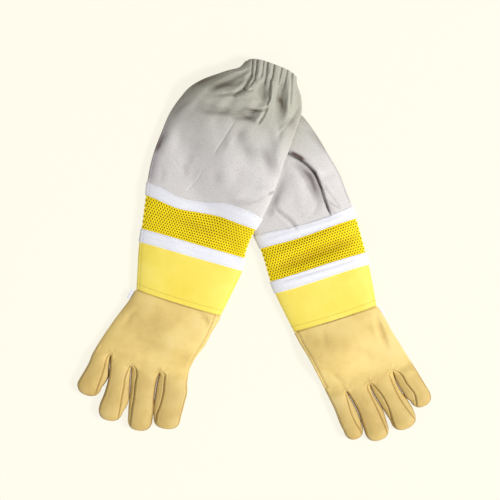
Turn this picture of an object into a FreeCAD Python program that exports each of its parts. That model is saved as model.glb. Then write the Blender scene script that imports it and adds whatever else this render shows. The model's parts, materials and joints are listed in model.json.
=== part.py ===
"""A pair of ventilated beekeeping gloves, laid flat with the backs of the hands up.

Each glove is a long gauntlet: a leather hand with fourchettes between the fingers, a short
leather cuff, a band of three-layer vent mesh between two woven tapes, and a cotton sleeve that
ends in a gathered hem with elastic in it. The right-hand glove lies across the sleeve of the
left-hand one. The thumbs are folded under the palms.

Frame: millimetres, +Z up, the surface they lie on is z = 0, and the sleeves point along +Y.
Every glove is first made in its own frame, with its wrist seam on y = 0, its thumb towards +x
and its sleeve along +y. The left-hand one is then mirrored, and both are turned and moved.
"""
import FreeCAD
import Part
import math
import os
from dataclasses import dataclass

V = FreeCAD.Vector

# Lengths along one glove
TAPE_WIDTH = 16.0          # the woven tapes over both edges of the vent mesh
SLEEVE_LENGTH = 164.0      # cotton between the upper tape and the hem
HEM_LENGTH = 27.0          # the casing that holds the elastic
KNUCKLE_LENGTH = 88.0      # wrist seam to the line where the fingers fold

# Widths across one glove, laid flat
WRIST_WIDTH = 113.0
CUFF_WIDTH = 136.0         # where the leather cuff meets the mesh
VENT_WIDTH = 149.0         # where the mesh meets the cotton
SLEEVE_WIDTH = 161.0       # the fullest part of the cotton
HEM_WIDTH = 72.0           # pulled in by the elastic

# Thicknesses of the materials
LEATHER = 1.2
COTTON = 0.8
TAPE = 1.0
VENT_FACE = 0.6            # the outer and the inner knit of the mesh
VENT_SPACER = 1.8          # the open core between them
ELASTIC = 1.2
SEWN_GAP = 0.1             # between layers that are sewn together

# How high the empty glove stands
WRIST_HEIGHT = 18.0
FINGER_HEIGHT = 15.0
THUMB_HEIGHT = 8.0

# The fingers: width, and length from the fold line to the tip
FINGERS = {
    "index": (33.0, 68.0),
    "middle": (33.0, 81.0),
    "ring": (30.0, 79.0),
    "little": (24.5, 57.0),
}
FINGER_TAPER = 0.88        # width near the tip over width at the fold line

# The thumb, folded flat under the palm
THUMB_WIDTH = 26.0
THUMB_LENGTH = 45.0        # from the middle of the thumb hole to the tip
THUMB_HOLE = 9.0           # radius of the hole from the palm into the thumb
THUMB_X = 36.0             # the middle of the thumb hole
THUMB_Y = -24.0
THUMB_TURN = 50.0          # degrees that the folded thumb points towards the little finger
THUMB_RAMP = 1.4           # length over height of the slope beside it in the palm

# Folds, in degrees
FINGER_CURL = 75.0
WRIST_CURL = 60.0
WRIST_BACK = 20.0
FOLD_SPARE = 7.0           # what a seat leaves free beyond the fold's limit
CLEARANCE = 0.3            # between two pieces that move past each other
SEAT_SPARE = 6.0           # how much wider than a finger its seat is cut

# The fourchettes, as shares of a finger's height and length
LEAF_BELOW = 0.17          # under the widest place
LEAF_ABOVE = 0.2
LEAF_EVEN = 0.6            # the stretch of even width
LEAF_END = 0.93

# The blank tag in the side seam
TAG_LENGTH = 12.0
TAG_OUT = 5.0
TAG_THICKNESS = 0.8
TAG_Y = -8.0

# The form of a section, from the middle of its underside round to the crown: (share of the
# half width, share of the height)
BROAD_FORM = ((0.0, 0.0), (0.28, 0.0), (0.56, 0.0), (0.84, 0.0), (0.97, 0.14), (1.0, 0.4),
              (0.93, 0.7), (0.75, 0.87), (0.5, 0.95), (0.25, 0.99), (0.0, 1.0))
NARROW_FORM = ((0.72, 0.0), (0.96, 0.14), (0.98, 0.58), (0.64, 0.92), (0.0, 1.0))
BELLY = 0.4                # height of the widest place over the whole height
SEAM_SHARES = (-1.0, -0.56, -0.28, 0.0, 0.28, 0.56, 1.0)   # where a side seam's height is read


@dataclass
class Lay:
    """How one glove of the pair lies. Lists run from the wrist seam up the sleeve."""

    name: str
    mirrored: bool
    x: float               # the middle of the wrist seam on the surface
    y: float
    turn: float            # degrees about Z
    cuff: float            # leather seen between the wrist seam and the lower tape
    vent: float            # mesh seen between the two tapes
    spread: tuple          # width over the flat width at each station of the arm
    sway: tuple            # sideways shift of each station
    height: tuple          # height of each station
    knuckle_width: float   # across the hand at the fold line of the fingers
    knuckle_sway: float
    palm_spread: float     # width half way along the palm over the mean of its ends
    roots: tuple           # sideways place of the index, middle, ring and little finger
    lean: tuple            # degrees that each finger leans towards the thumb
    plump: float           # finger width over the flat width
    reach: float           # finger length over the flat length


RIGHT = Lay(
    name="right", mirrored=False, x=-95.95, y=-68.3, turn=-17.3, cuff=58.5, vent=39.5,
    spread=(1.0, 1.0, 1.0, 1.0, 0.98, 0.89, 0.92, 1.0),
    sway=(0.0, -3.5, -6.5, -5.5, -2.0, 6.0, 20.0, 25.0),
    height=(18.0, 20.0, 21.0, 20.0, 19.0, 18.0, 18.5, 19.0),
    knuckle_width=122.5, knuckle_sway=-21.5, palm_spread=1.0,
    roots=(23.4, -11.2, -43.6, -72.4), lean=(8.7, 10.3, 7.8, -1.0), plump=1.0, reach=1.0,
)
LEFT = Lay(
    name="left", mirrored=True, x=100.9, y=-88.95, turn=17.6, cuff=52.5, vent=43.0,
    spread=(0.98, 0.93, 0.87, 0.88, 0.85, 0.80, 0.92, 1.0),
    sway=(0.0, 1.0, 0.5, 8.0, 17.0, 23.0, 38.0, 43.0),
    height=(18.0, 20.0, 21.0, 23.0, 23.0, 21.0, 19.5, 19.0),
    knuckle_width=114.0, knuckle_sway=-16.0, palm_spread=0.97,
    roots=(27.0, -4.8, -35.2, -62.6), lean=(-3.2, -0.8, -5.9, -9.6), plump=0.93, reach=0.9,
)
DRAPE_GAP = 0.8            # between the two sleeves where one lies on the other
DRAPE_SLOPE = 0.9          # how steeply the cotton comes down beside the sleeve under it
DRAPE_FLAT = 10.0          # how far past that sleeve it stays level
DRAPE_REACH = 36.0
SECTION_STEP = 24.0        # the longest stretch between two sections of an arm

SLEEVE_STATIONS = (0.27, 0.63, 0.86)   # where the cotton's form changes, along its length


# ---------------------------------------------------------------- small helpers

def smooth(t):
    """0 to 1 with level ends, for t from 0 to 1."""
    t = min(max(t, 0.0), 1.0)
    return t * t * (3.0 - 2.0 * t)


def along(places, values, y):
    """Smooth curve through values at the given places, read at y (Catmull-Rom)."""
    last = len(places) - 1
    if y <= places[0]:
        return values[0]
    if y >= places[last]:
        return values[last]
    i = max(k for k in range(last) if places[k] <= y)

    def slope(k):
        lo, hi = max(k - 1, 0), min(k + 1, last)
        return (values[hi] - values[lo]) / (places[hi] - places[lo])

    step = places[i + 1] - places[i]
    t = (y - places[i]) / step
    start = (2 * t**3 - 3 * t**2 + 1) * values[i] + (t**3 - 2 * t**2 + t) * step * slope(i)
    end = (3 * t**2 - 2 * t**3) * values[i + 1] + (t**3 - t**2) * step * slope(i + 1)
    return start + end


def section(y, form, inset=0.0, lift=None, half=BROAD_FORM):
    """Points round one section across x, set in from the form (centre, width, bottom, height)."""
    centre, width, bottom, height = form
    points = []
    for side, rise in [(1, pair) for pair in half] + [(-1, pair) for pair in half[::-1]]:
        share, level = rise
        if side < 0 and share == 0.0:
            continue
        x = centre + side * share * (width / 2.0 - inset)
        z = bottom + inset + level * (height - 2.0 * inset)
        over = centre + side * share * width / 2.0
        points.append(V(x, y, z + (lift(over, y) if lift else 0.0)))
    return points


def closed_form(sections):
    """A closed solid through the sections, straight from each to the next."""
    return Part.makeLoft([Part.makePolygon(ring + ring[:1]) for ring in sections], True, True)


def open_ring(outer, inner):
    """A tube wall between two rows of sections, as flat panels with open ends."""
    count = len(outer[0])
    quads = []
    for i in range(count):
        j = (i + 1) % count
        for row in (outer, inner):
            quads += [(near[i], near[j], far[j], far[i]) for near, far in zip(row, row[1:])]
        quads += [(out[i], out[j], within[j], within[i])
                  for out, within in ((outer[0], inner[0]), (outer[-1], inner[-1]))]
    panels = []
    for a, b, c, d in quads:
        panels.append(Part.Face(Part.makePolygon([a, b, c, a])))
        panels.append(Part.Face(Part.makePolygon([a, c, d, a])))
    shell = Part.makeShell(panels)
    shell.sewShape()
    solid = Part.Solid(shell)
    if solid.Volume < 0.0:
        solid.reverse()
    return solid


def box(x0, x1, y0, y1, z0, z1):
    return Part.makeBox(x1 - x0, y1 - y0, z1 - z0, V(x0, y0, z0))


def cross_cylinder(radius, width, z):
    """A cylinder about the fold axis, which runs along x at height z over y = 0."""
    return Part.makeCylinder(radius, width, V(-width / 2.0, 0, z), V(1, 0, 0))


def turned(shape, x, y, degrees):
    """The shape turned about Z by degrees and then moved to x, y."""
    matrix = FreeCAD.Placement(V(x, y, 0), FreeCAD.Rotation(V(0, 0, 1), degrees)).toMatrix()
    moved = shape.copy()
    moved.transformShape(matrix, True)
    return moved


# ---------------------------------------------------------------- the arm of a glove

def arm_places(lay):
    """Places along the arm, from the wrist seam: each seam and each change of form."""
    mesh_start = lay.cuff + TAPE_WIDTH / 2.0
    mesh_end = lay.cuff + TAPE_WIDTH + lay.vent + TAPE_WIDTH / 2.0
    cotton = lay.cuff + 2.0 * TAPE_WIDTH + lay.vent
    hem = cotton + SLEEVE_LENGTH
    full, middle, gather = (cotton + SLEEVE_LENGTH * share for share in SLEEVE_STATIONS)
    return (0.0, mesh_start, mesh_end, full, middle, gather, hem, hem + HEM_LENGTH)


def arm_form(lay, y):
    """Centre, width and height of the arm at y."""
    places = arm_places(lay)
    flat = (WRIST_WIDTH, CUFF_WIDTH, VENT_WIDTH, SLEEVE_WIDTH, SLEEVE_WIDTH, SLEEVE_WIDTH,
            (SLEEVE_WIDTH + HEM_WIDTH) / 2.0, HEM_WIDTH)
    widths = [size * share for size, share in zip(flat, lay.spread)]
    return (along(places, lay.sway, y), along(places, widths, y), along(places, lay.height, y))


def arm_top(lay, x, y):
    """Height of the arm's upper side over the point x, y of the glove's own frame."""
    places = arm_places(lay)
    if y < places[0] or y > places[-1]:
        return 0.0
    centre, width, height = arm_form(lay, y)
    share = abs(x - centre) / (width / 2.0)
    crown = [pair for pair in BROAD_FORM[::-1] if pair[1] >= BELLY]
    for (near, high), (far, low) in zip(crown, crown[1:]):
        if near <= share <= far:
            return height * (high + (low - high) * (share - near) / (far - near))
    return 0.0


def to_surface(lay, x, y):
    """From the glove's own frame to the common one."""
    x = -x if lay.mirrored else x
    c, s = math.cos(math.radians(lay.turn)), math.sin(math.radians(lay.turn))
    return (lay.x + c * x - s * y, lay.y + s * x + c * y)


def from_surface(lay, x, y):
    """From the common frame to the glove's own one."""
    dx, dy = x - lay.x, y - lay.y
    c, s = math.cos(math.radians(lay.turn)), math.sin(math.radians(lay.turn))
    x, y = c * dx + s * dy, -s * dx + c * dy
    return (-x if lay.mirrored else x, y)


def drape(x, y):
    """How far the right-hand glove is lifted at a point of its frame by the sleeve under it."""
    at_x, at_y = to_surface(RIGHT, x, y)
    lift = 0.0
    for ring in range(7):
        radius = DRAPE_REACH * ring / 6.0
        fall = DRAPE_SLOPE * max(radius - DRAPE_FLAT, 0.0)
        for k in range(16 if ring else 1):
            angle = 2.0 * math.pi * k / 16
            near = from_surface(LEFT, at_x + radius * math.cos(angle),
                                at_y + radius * math.sin(angle))
            under = arm_top(LEFT, *near)
            if under > 0.0:
                lift = max(lift, under + DRAPE_GAP - fall)
    return lift


def arm_steps(lay, start, end):
    """Places of the sections from start to end: every seam and tape edge, and some between."""
    places = arm_places(lay)
    upper = lay.cuff + TAPE_WIDTH + lay.vent
    edges = [0.0, lay.cuff, places[1], lay.cuff + TAPE_WIDTH, upper, places[2],
             upper + TAPE_WIDTH, places[6], places[7]]
    steps = []
    for near, far in zip(edges, edges[1:]):
        count = max(1, int(math.ceil((far - near) / SECTION_STEP)))
        steps += [near + (far - near) * i / count for i in range(count)]
    return [start] + [y for y in steps if start < y < end] + [end]


def arm_sections(lay, start, end, inset):
    """Sections of the arm from start to end, inset from its outermost skin."""
    lift = drape if lay is RIGHT else None
    sections = []
    for y in arm_steps(lay, start, end):
        centre, width, height = arm_form(lay, y)
        sections.append(section(y, (centre, width, 0.0, height), inset, lift))
    return sections


def arm_ring(lay, start, end, inset, wall):
    """An open ring of the arm: a skin of the given wall, inset from the outermost one."""
    return open_ring(arm_sections(lay, start, end, inset),
                     arm_sections(lay, start, end, inset + wall))


def cut_back(radius, fold, wall):
    """How far a wall whose inner side is at depth wall ends from the axis, to clear a fold."""
    angle = math.radians(fold + FOLD_SPARE)
    return radius * math.tan(angle / 2.0) + wall / math.tan(angle) + CLEARANCE


def wrist_seat(lay):
    """What is cut from the cuff's end so that the hand can fold at the wrist seam."""
    radius = WRIST_HEIGHT / 2.0
    width = 2.0 * WRIST_WIDTH
    wall = TAPE + SEWN_GAP + LEATHER
    under = cut_back(radius, WRIST_CURL, wall)
    over = cut_back(radius, WRIST_BACK, wall)
    seat = cross_cylinder(radius + CLEARANCE, width, radius)
    seat = seat.fuse(box(-width / 2, width / 2, -radius, under, -radius, radius))
    return seat.fuse(box(-width / 2, width / 2, -radius, over, radius, 4 * radius))


def make_arm(lay):
    """The nodes of the arm: cuff, tapes, mesh, cotton sleeve, hem and elastic."""
    places = arm_places(lay)
    mesh_start, mesh_end = places[1], places[2]
    hem, end = places[6], places[7]
    skin = TAPE + SEWN_GAP
    vent = 2 * VENT_FACE + VENT_SPACER
    nodes = {}
    nodes["leather_cuff"] = arm_ring(lay, 0.0, mesh_start, skin, LEATHER).cut(wrist_seat(lay))
    nodes["lower_tape"] = arm_ring(lay, lay.cuff, lay.cuff + TAPE_WIDTH, 0.0, TAPE)
    nodes["vent_face"] = arm_ring(lay, mesh_start, mesh_end, skin, VENT_FACE)
    nodes["vent_spacer"] = arm_ring(lay, mesh_start, mesh_end, skin + VENT_FACE, VENT_SPACER)
    nodes["vent_lining"] = arm_ring(lay, mesh_start, mesh_end, skin + vent - VENT_FACE, VENT_FACE)
    upper = lay.cuff + TAPE_WIDTH + lay.vent
    nodes["upper_tape"] = arm_ring(lay, upper, upper + TAPE_WIDTH, 0.0, TAPE)
    nodes["cotton_sleeve"] = arm_ring(lay, mesh_end, hem, skin, COTTON)
    channel = ELASTIC + 2 * SEWN_GAP
    casing = arm_ring(lay, hem, end, skin, 2 * COTTON + channel)
    pocket = (hem + 2 * COTTON, end - 2 * COTTON)
    nodes["hem_casing"] = casing.cut(arm_ring(lay, *pocket, skin + COTTON, channel))
    band = (pocket[0] + SEWN_GAP, pocket[1] - SEWN_GAP)
    nodes["hem_elastic"] = arm_ring(lay, *band, skin + COTTON + SEWN_GAP, ELASTIC)
    return nodes


# ---------------------------------------------------------------- a soft tube that folds

def tube_sections(stations, radius, inset, curl, half=BROAD_FORM):
    """Sections of a tube along -y that folds about an axis over y = 0, at height radius.

    Behind the axis its walls follow the axis round, so that they turn inside their seat.
    stations holds (distance, centre, width, height, lift) from the axis on.
    """
    sections = []
    _, centre, width, _, _ = stations[0]
    steps = 2
    turn = radius - inset
    for i in range(steps, 0, -1):
        angle = math.radians(curl) * i / steps
        depth = 2.0 * turn * math.cos(angle)
        form = (centre, width - 2.0 * inset, radius - depth / 2.0, depth)
        sections.append(section(turn * math.sin(angle), form, half=half))
    for distance, centre, width, height, lift in stations:
        sections.append(section(-distance, (centre, width, 0.0, height), inset, lift, half))
    return sections


# ---------------------------------------------------------------- the hand

def palm_form(lay, y):
    """Centre, width and height of the palm at y, from 0 at the wrist to -KNUCKLE_LENGTH."""
    share = min(max(-y / KNUCKLE_LENGTH, 0.0), 1.0)
    wrist = WRIST_WIDTH * lay.spread[0]
    width = wrist + (lay.knuckle_width - wrist) * share
    width *= 1.0 + (lay.palm_spread - 1.0) * math.sin(math.pi * share)
    height = WRIST_HEIGHT + (FINGER_HEIGHT - WRIST_HEIGHT) * smooth(share)
    return lay.knuckle_sway * share, width, height


def thumb_lift(x, y):
    """How far the folded thumb lifts the palm at a point."""
    rise = THUMB_HEIGHT + CLEARANCE
    ramp = THUMB_RAMP * THUMB_HEIGHT
    reach_y = THUMB_LENGTH + CLEARANCE
    half = THUMB_WIDTH / 2.0
    tip_x = THUMB_X - THUMB_LENGTH * math.sin(math.radians(THUMB_TURN))
    side = smooth((x - (tip_x - half - 2 * ramp)) / ramp)
    near_wrist = smooth((THUMB_Y + half + CLEARANCE + THUMB_HEIGHT - y) / THUMB_HEIGHT)
    near_fingers = smooth((y - (THUMB_Y - reach_y - ramp)) / ramp)
    return rise * side * near_wrist * near_fingers


def palm_marks():
    """Distances from the wrist seam where the palm's form changes."""
    start = -THUMB_Y - THUMB_WIDTH / 2.0 - CLEARANCE
    end = -THUMB_Y + THUMB_LENGTH + CLEARANCE
    ramp = THUMB_RAMP * THUMB_HEIGHT
    return [0.0, start - THUMB_HEIGHT, start - THUMB_HEIGHT / 2, start, (start + end) / 2,
            end, end + ramp / 2, end + ramp, KNUCKLE_LENGTH]


def hand_form(lay, inset):
    """The closed form of the hand, from its lip in the cuff to past the fold line."""
    radius = WRIST_HEIGHT / 2.0
    stations = []
    for mark in palm_marks():
        centre, width, height = palm_form(lay, -mark)
        stations.append((mark, centre, width, height, thumb_lift))
    centre, width, height = palm_form(lay, -KNUCKLE_LENGTH)
    stations.append((KNUCKLE_LENGTH + FINGER_HEIGHT, centre, width, height, None))
    return closed_form(tube_sections(stations, radius, inset, WRIST_CURL + WRIST_BACK))


def knuckle_seat(lay, width, lean, x):
    """What is cut from the hand's end so that one finger can fold."""
    radius = FINGER_HEIGHT / 2.0
    half = (width + SEAT_SPARE) / 2.0
    far = 3 * FINGER_HEIGHT
    under = cut_back(radius, FINGER_CURL, LEATHER)
    seat = cross_cylinder(radius + CLEARANCE, 2 * half, radius)
    seat = seat.fuse(box(-half, half, -far, CLEARANCE, -radius, far))
    seat = seat.fuse(box(-half, half, -far, under, -radius, radius))
    return turned(seat, x, -KNUCKLE_LENGTH, lean)


def seam_block(lay):
    """Everything under the side seams of the hand, which rise over the folded thumb."""
    far = 2 * KNUCKLE_LENGTH
    sections = []
    for mark in [-WRIST_HEIGHT] + palm_marks() + [KNUCKLE_LENGTH + FINGER_HEIGHT]:
        centre, width, height = palm_form(lay, -mark)
        across = [centre + share * width / 2.0 for share in SEAM_SHARES]
        points = [V(x, -mark, height * BELLY + thumb_lift(x, -mark)) for x in across]
        points = [V(-far, -mark, points[0].z)] + points + [V(far, -mark, points[-1].z)]
        sections.append(points + [V(far, -mark, -far), V(-far, -mark, -far)])
    return closed_form(sections)


def make_hand(lay):
    """The back and the palm of the hand, and the blank tag in its side seam."""
    radius = WRIST_HEIGHT / 2.0
    outer = hand_form(lay, 0.0)
    shell = outer.cut(hand_form(lay, LEATHER))
    room = WRIST_WIDTH * lay.spread[0] / 2.0 - 3 * LEATHER
    shell = shell.cut(box(-room, room, 0.0, 3 * radius, -radius, 1.25 * radius))
    for k, name in enumerate(FINGERS):
        width = FINGERS[name][0] * lay.plump
        shell = shell.cut(knuckle_seat(lay, width, lay.lean[k], lay.roots[k]))
    hole = Part.makeCylinder(THUMB_HOLE, THUMB_HEIGHT + 4.0, V(THUMB_X, THUMB_Y, 0))
    shell = shell.cut(hole)
    under = seam_block(lay)
    nodes = {"hand_back": shell.cut(under), "hand_palm": shell.common(under)}
    centre, width, _ = palm_form(lay, TAG_Y)
    side = centre - width / 2.0
    tag = box(side - TAG_OUT, side + TAG_OUT, TAG_Y - TAG_LENGTH / 2, TAG_Y + TAG_LENGTH / 2,
              WRIST_HEIGHT * BELLY - TAG_THICKNESS / 2, WRIST_HEIGHT * BELLY + TAG_THICKNESS / 2)
    nodes["side_tag"] = tag.cut(outer)
    return nodes


# ---------------------------------------------------------------- the thumb

def thumb_form(inset):
    """The folded thumb: a flat pouch with round ends, from behind the thumb hole along -y."""
    half = THUMB_WIDTH / 2.0
    sections = []
    for middle, quarter in ((0.0, 1), (half - THUMB_LENGTH, -1)):
        turns = (80.0, 45.0, 0.0) if quarter > 0 else (0.0, 45.0, 80.0)
        for degrees in turns:
            c, s = math.cos(math.radians(degrees)), math.sin(math.radians(degrees))
            depth = (THUMB_HEIGHT - 2 * inset) * (0.5 + 0.5 * c)
            form = (0.0, 2 * (half - inset) * c, (THUMB_HEIGHT - depth) / 2.0, depth)
            y = middle + quarter * (half - inset) * s
            sections.append(section(y, form, half=NARROW_FORM))
    return closed_form(sections)


def make_thumb(lay):
    """The two leather sides of the thumb, joined at a seam round its edge."""
    shell = thumb_form(0.0).cut(thumb_form(LEATHER))
    shell = shell.cut(Part.makeCylinder(THUMB_HOLE, THUMB_HEIGHT, V(0, 0, THUMB_HEIGHT / 2.0)))
    reach = 2 * THUMB_LENGTH
    upper = box(-reach, reach, -reach, reach, THUMB_HEIGHT / 2.0, THUMB_HEIGHT * 2)
    halves = {"thumb_back": shell.common(upper), "thumb_palm": shell.cut(upper)}
    return {name: turned(half, THUMB_X, THUMB_Y, -THUMB_TURN) for name, half in halves.items()}


# ---------------------------------------------------------------- the fingers

def finger_form(width, length, inset):
    """The closed form of one finger, from its root lip to its round tip."""
    radius = FINGER_HEIGHT / 2.0
    dome = width * 0.48
    stations = [(0.0, 0.0, width, FINGER_HEIGHT, None)]
    for degrees in (0.0, 42.0, 78.0):
        c, s = math.cos(math.radians(degrees)), math.sin(math.radians(degrees))
        place = length - dome + (dome - inset) * s
        across = (width * FINGER_TAPER - 2 * inset) * c + 2 * inset
        depth = (FINGER_HEIGHT - 2 * inset) * (0.45 + 0.55 * c) + 2 * inset
        stations.append((place, 0.0, across, depth, None))
    return closed_form(tube_sections(stations, radius, inset, FINGER_CURL, NARROW_FORM))


def make_finger(lay, index, name):
    """Back, palm and fourchettes of one finger."""
    width, length = FINGERS[name][0] * lay.plump, FINGERS[name][1] * lay.reach
    radius = FINGER_HEIGHT / 2.0
    shell = finger_form(width, length, 0.0).cut(finger_form(width, length, LEATHER))
    room = width / 2.0 - 2 * LEATHER
    shell = shell.cut(box(-room, room, 0.0, 2 * radius, -radius, 1.25 * radius))
    middle = FINGER_HEIGHT * BELLY
    low, high = middle - LEAF_BELOW * FINGER_HEIGHT, middle + LEAF_ABOVE * FINGER_HEIGHT
    leaf = Part.makePolygon([
        V(0, 2 * radius, low), V(0, -length * LEAF_EVEN, low), V(0, -length * LEAF_END, middle),
        V(0, -length * LEAF_EVEN, high), V(0, 2 * radius, high), V(0, 2 * radius, low)])
    both = width
    left = 0.0 if name == "little" else -both
    right = 0.0 if name == "index" else both
    leaf.translate(V(left, 0, 0))
    leaf = Part.Face(leaf).extrude(V(right - left, 0, 0))
    under = box(-width, width, -2 * length, 2 * radius, -radius, middle)
    rest = shell.cut(leaf)
    parts = {"back": rest.cut(under), "palm": rest.common(under),
             "fourchettes": shell.common(leaf)}
    return {f"{name}_{part}": turned(shape, lay.roots[index], -KNUCKLE_LENGTH, lay.lean[index])
            for part, shape in parts.items()}


# ---------------------------------------------------------------- the pair

def make_glove(lay):
    """Every node of one glove, in the common frame."""
    nodes = make_arm(lay)
    nodes.update(make_hand(lay))
    nodes.update(make_thumb(lay))
    for index, name in enumerate(FINGERS):
        nodes.update(make_finger(lay, index, name))
    placed = {}
    for name, shape in nodes.items():
        if lay.mirrored:
            shape = shape.mirror(V(0, 0, 0), V(1, 0, 0))
        placed[f"{lay.name}_{name}"] = turned(shape, lay.x, lay.y, lay.turn)
    return placed


os.makedirs("parts", exist_ok=True)
for lay in (LEFT, RIGHT):
    for name, shape in make_glove(lay).items():
        shape.exportStep(f"parts/{name}.step")
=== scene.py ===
"""A pair of ventilated beekeeping gloves, dressed over its fixed frame.

Laid out as an add-on: the sizes and colours are properties, each group of pieces has an
operator, and main() calls them in order. Lengths inside the functions are millimetres in a
glove's own frame: x towards the thumb, y up the sleeve from the wrist seam, z up. A mesh gets
its metres in the common frame when it is made.
"""
import json
import math
from dataclasses import dataclass

import bpy
import numpy as np
from bpy.props import FloatProperty, FloatVectorProperty, PointerProperty
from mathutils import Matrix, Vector


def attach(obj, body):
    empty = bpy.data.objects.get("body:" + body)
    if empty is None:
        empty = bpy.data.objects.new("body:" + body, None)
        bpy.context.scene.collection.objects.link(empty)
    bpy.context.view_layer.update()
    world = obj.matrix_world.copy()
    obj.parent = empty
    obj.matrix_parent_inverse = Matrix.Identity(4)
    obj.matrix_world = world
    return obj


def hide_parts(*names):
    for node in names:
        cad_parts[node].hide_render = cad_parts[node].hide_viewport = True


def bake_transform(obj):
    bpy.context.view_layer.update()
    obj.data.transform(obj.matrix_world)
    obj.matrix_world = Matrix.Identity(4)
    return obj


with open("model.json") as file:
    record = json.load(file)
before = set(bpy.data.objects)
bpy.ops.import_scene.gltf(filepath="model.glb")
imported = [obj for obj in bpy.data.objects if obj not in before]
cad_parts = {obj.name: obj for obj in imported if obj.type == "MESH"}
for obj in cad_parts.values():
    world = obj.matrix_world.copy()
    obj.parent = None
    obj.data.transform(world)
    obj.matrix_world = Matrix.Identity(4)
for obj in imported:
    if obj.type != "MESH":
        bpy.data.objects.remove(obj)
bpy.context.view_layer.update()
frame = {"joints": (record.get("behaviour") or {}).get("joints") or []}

bl_info = {
    "name": "Beekeeping gloves",
    "version": (1, 0, 0),
    "blender": (4, 5, 0),
    "location": "3D View > Sidebar > Gloves",
    "description": "Dresses a packed pair of beekeeping gloves in leather, mesh and cotton",
    "category": "Object",
}

MM = 0.001


# ---------------------------------------------------------------- numbers and curves

def linear(code):
    """The linear colour of an sRGB hex code."""
    parts = [int(code[i:i + 2], 16) / 255.0 for i in (1, 3, 5)]
    return tuple(c / 12.92 if c <= 0.04045 else ((c + 0.055) / 1.055) ** 2.4 for c in parts)


def smooth(t):
    """0 to 1 with level ends: 3t^2 - 2t^3, with t held between 0 and 1."""
    t = np.clip(t, 0.0, 1.0)
    return t * t * (3.0 - 2.0 * t)


def through(places, values, at):
    """Smooth curve through values at places: a cubic in each gap, whose slope at a place is the
    one between its neighbours."""
    places, values = np.asarray(places, float), np.asarray(values, float)
    at = np.clip(at, places[0], places[-1])
    slope = np.gradient(values, places)
    i = np.clip(np.searchsorted(places, at, side="right") - 1, 0, len(places) - 2)
    step = places[i + 1] - places[i]
    t = (at - places[i]) / step
    near = (2 * t**3 - 3 * t**2 + 1) * values[i] + (t**3 - 2 * t**2 + t) * step * slope[i]
    far = (3 * t**2 - 2 * t**3) * values[i + 1] + (t**3 - t**2) * step * slope[i + 1]
    return near + far


def ripples(x, y, scale, seed):
    """Soft unevenness between -1 and 1: the mean of six crossing sine waves about scale long."""
    rng = np.random.default_rng(seed)
    total = np.zeros(np.broadcast(x, y).shape)
    for heading, length, phase in zip(rng.uniform(0, math.pi, 6), rng.uniform(0.7, 1.6, 6),
                                      rng.uniform(0, 2 * math.pi, 6)):
        across = x * math.cos(heading) + y * math.sin(heading)
        total += np.sin(2 * math.pi * across / (scale * length) + phase)
    return total / 6.0


def line_distance(x, y, points):
    """Distance to a line through points, the share of its length there, and the side (+-1)."""
    best = np.full(x.shape, 1e9)
    share = np.zeros(x.shape)
    side = np.ones(x.shape)
    points = np.asarray(points, float)
    runs = np.hypot(*(points[1:] - points[:-1]).T)
    done = np.concatenate([[0.0], np.cumsum(runs)])
    for k in range(len(points) - 1):
        (ax, ay), (bx, by) = points[k], points[k + 1]
        dx, dy = bx - ax, by - ay
        t = np.clip(((x - ax) * dx + (y - ay) * dy) / (dx * dx + dy * dy), 0.0, 1.0)
        away = np.hypot(x - ax - t * dx, y - ay - t * dy)
        nearer = away < best
        best = np.where(nearer, away, best)
        share = np.where(nearer, (done[k] + t * runs[k]) / done[-1], share)
        turn = np.sign(dx * (y - ay) - dy * (x - ax))
        side = np.where(nearer, np.where(turn == 0, 1.0, turn), side)
    return best, share, side


def folds_relief(folds, x, y):
    """Height that the folds add. Each fold is (kind, depth, width, points).

    valley: -depth exp(-(d/w)^2), with a low rise on both sides at 2.3w.
    ridge: depth exp(-(d/w)^2).
    tuck: on its left side the cloth stands depth high and falls away over 6w; on its right it
    drops within half a width into a narrow valley.
    roll: on its left side the cloth rises to depth over 2w, and sinks again beyond 4w.
    A narrow fold fades to nothing over the last fifth at each end, and one wider than 2.9 swells
    to its middle with sin(pi share)^1.3. A shade has no height.
    """
    total = np.zeros(x.shape)
    for kind, depth, width, points in folds:
        if kind == "shade":
            continue
        away, share, side = line_distance(x, y, points)
        fade = smooth(share / 0.2) * smooth((1.0 - share) / 0.2)
        if width > 2.9:
            fade = np.sin(math.pi * np.clip(share, 0.0, 1.0)) ** 1.3
        if kind == "valley":
            lip = 0.25 if width > 2.0 else 0.1
            form = (-np.exp(-(away / width) ** 2)
                    + lip * np.exp(-((away - 2.3 * width) / (1.2 * width)) ** 2))
        elif kind == "ridge":
            form = np.exp(-(away / width) ** 2)
        elif kind == "roll":
            signed = away * side
            form = smooth(signed / (2.2 * width) + 0.1) * np.exp(-(signed / (4.0 * width)) ** 2)
        else:
            signed = away * side
            up = (smooth(signed / (0.7 * width) + 0.5)
                  * np.exp(-np.clip(signed, 0, None) / (6 * width)))
            form = up - 0.45 * np.exp(-((signed + 0.6 * width) / (0.7 * width)) ** 2)
        total += depth * fade * form
    return total


def folds_shade(folds, x, y):
    """Darkening, 0 to 1, where a fold or the cloth above keeps the light off: each shade is as
    strong as its depth on its line, and gone at its width."""
    total = np.zeros(x.shape)
    for kind, depth, width, points in folds:
        if kind == "shade":
            away, share, _ = line_distance(x, y, points)
            ends = smooth(share / 0.4 + 0.12) * smooth((1.0 - share) / 0.4 + 0.12)
            total = total + depth * ends * (1.0 - smooth(away / width))
    return np.clip(total, 0.0, 1.0)


# ---------------------------------------------------------------- how each glove lies

def puckers(*lines):
    """The short shallow creases that start at the crotches of the fingers."""
    return tuple(("valley", 0.35, 1.8, line) for line in lines)


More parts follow.
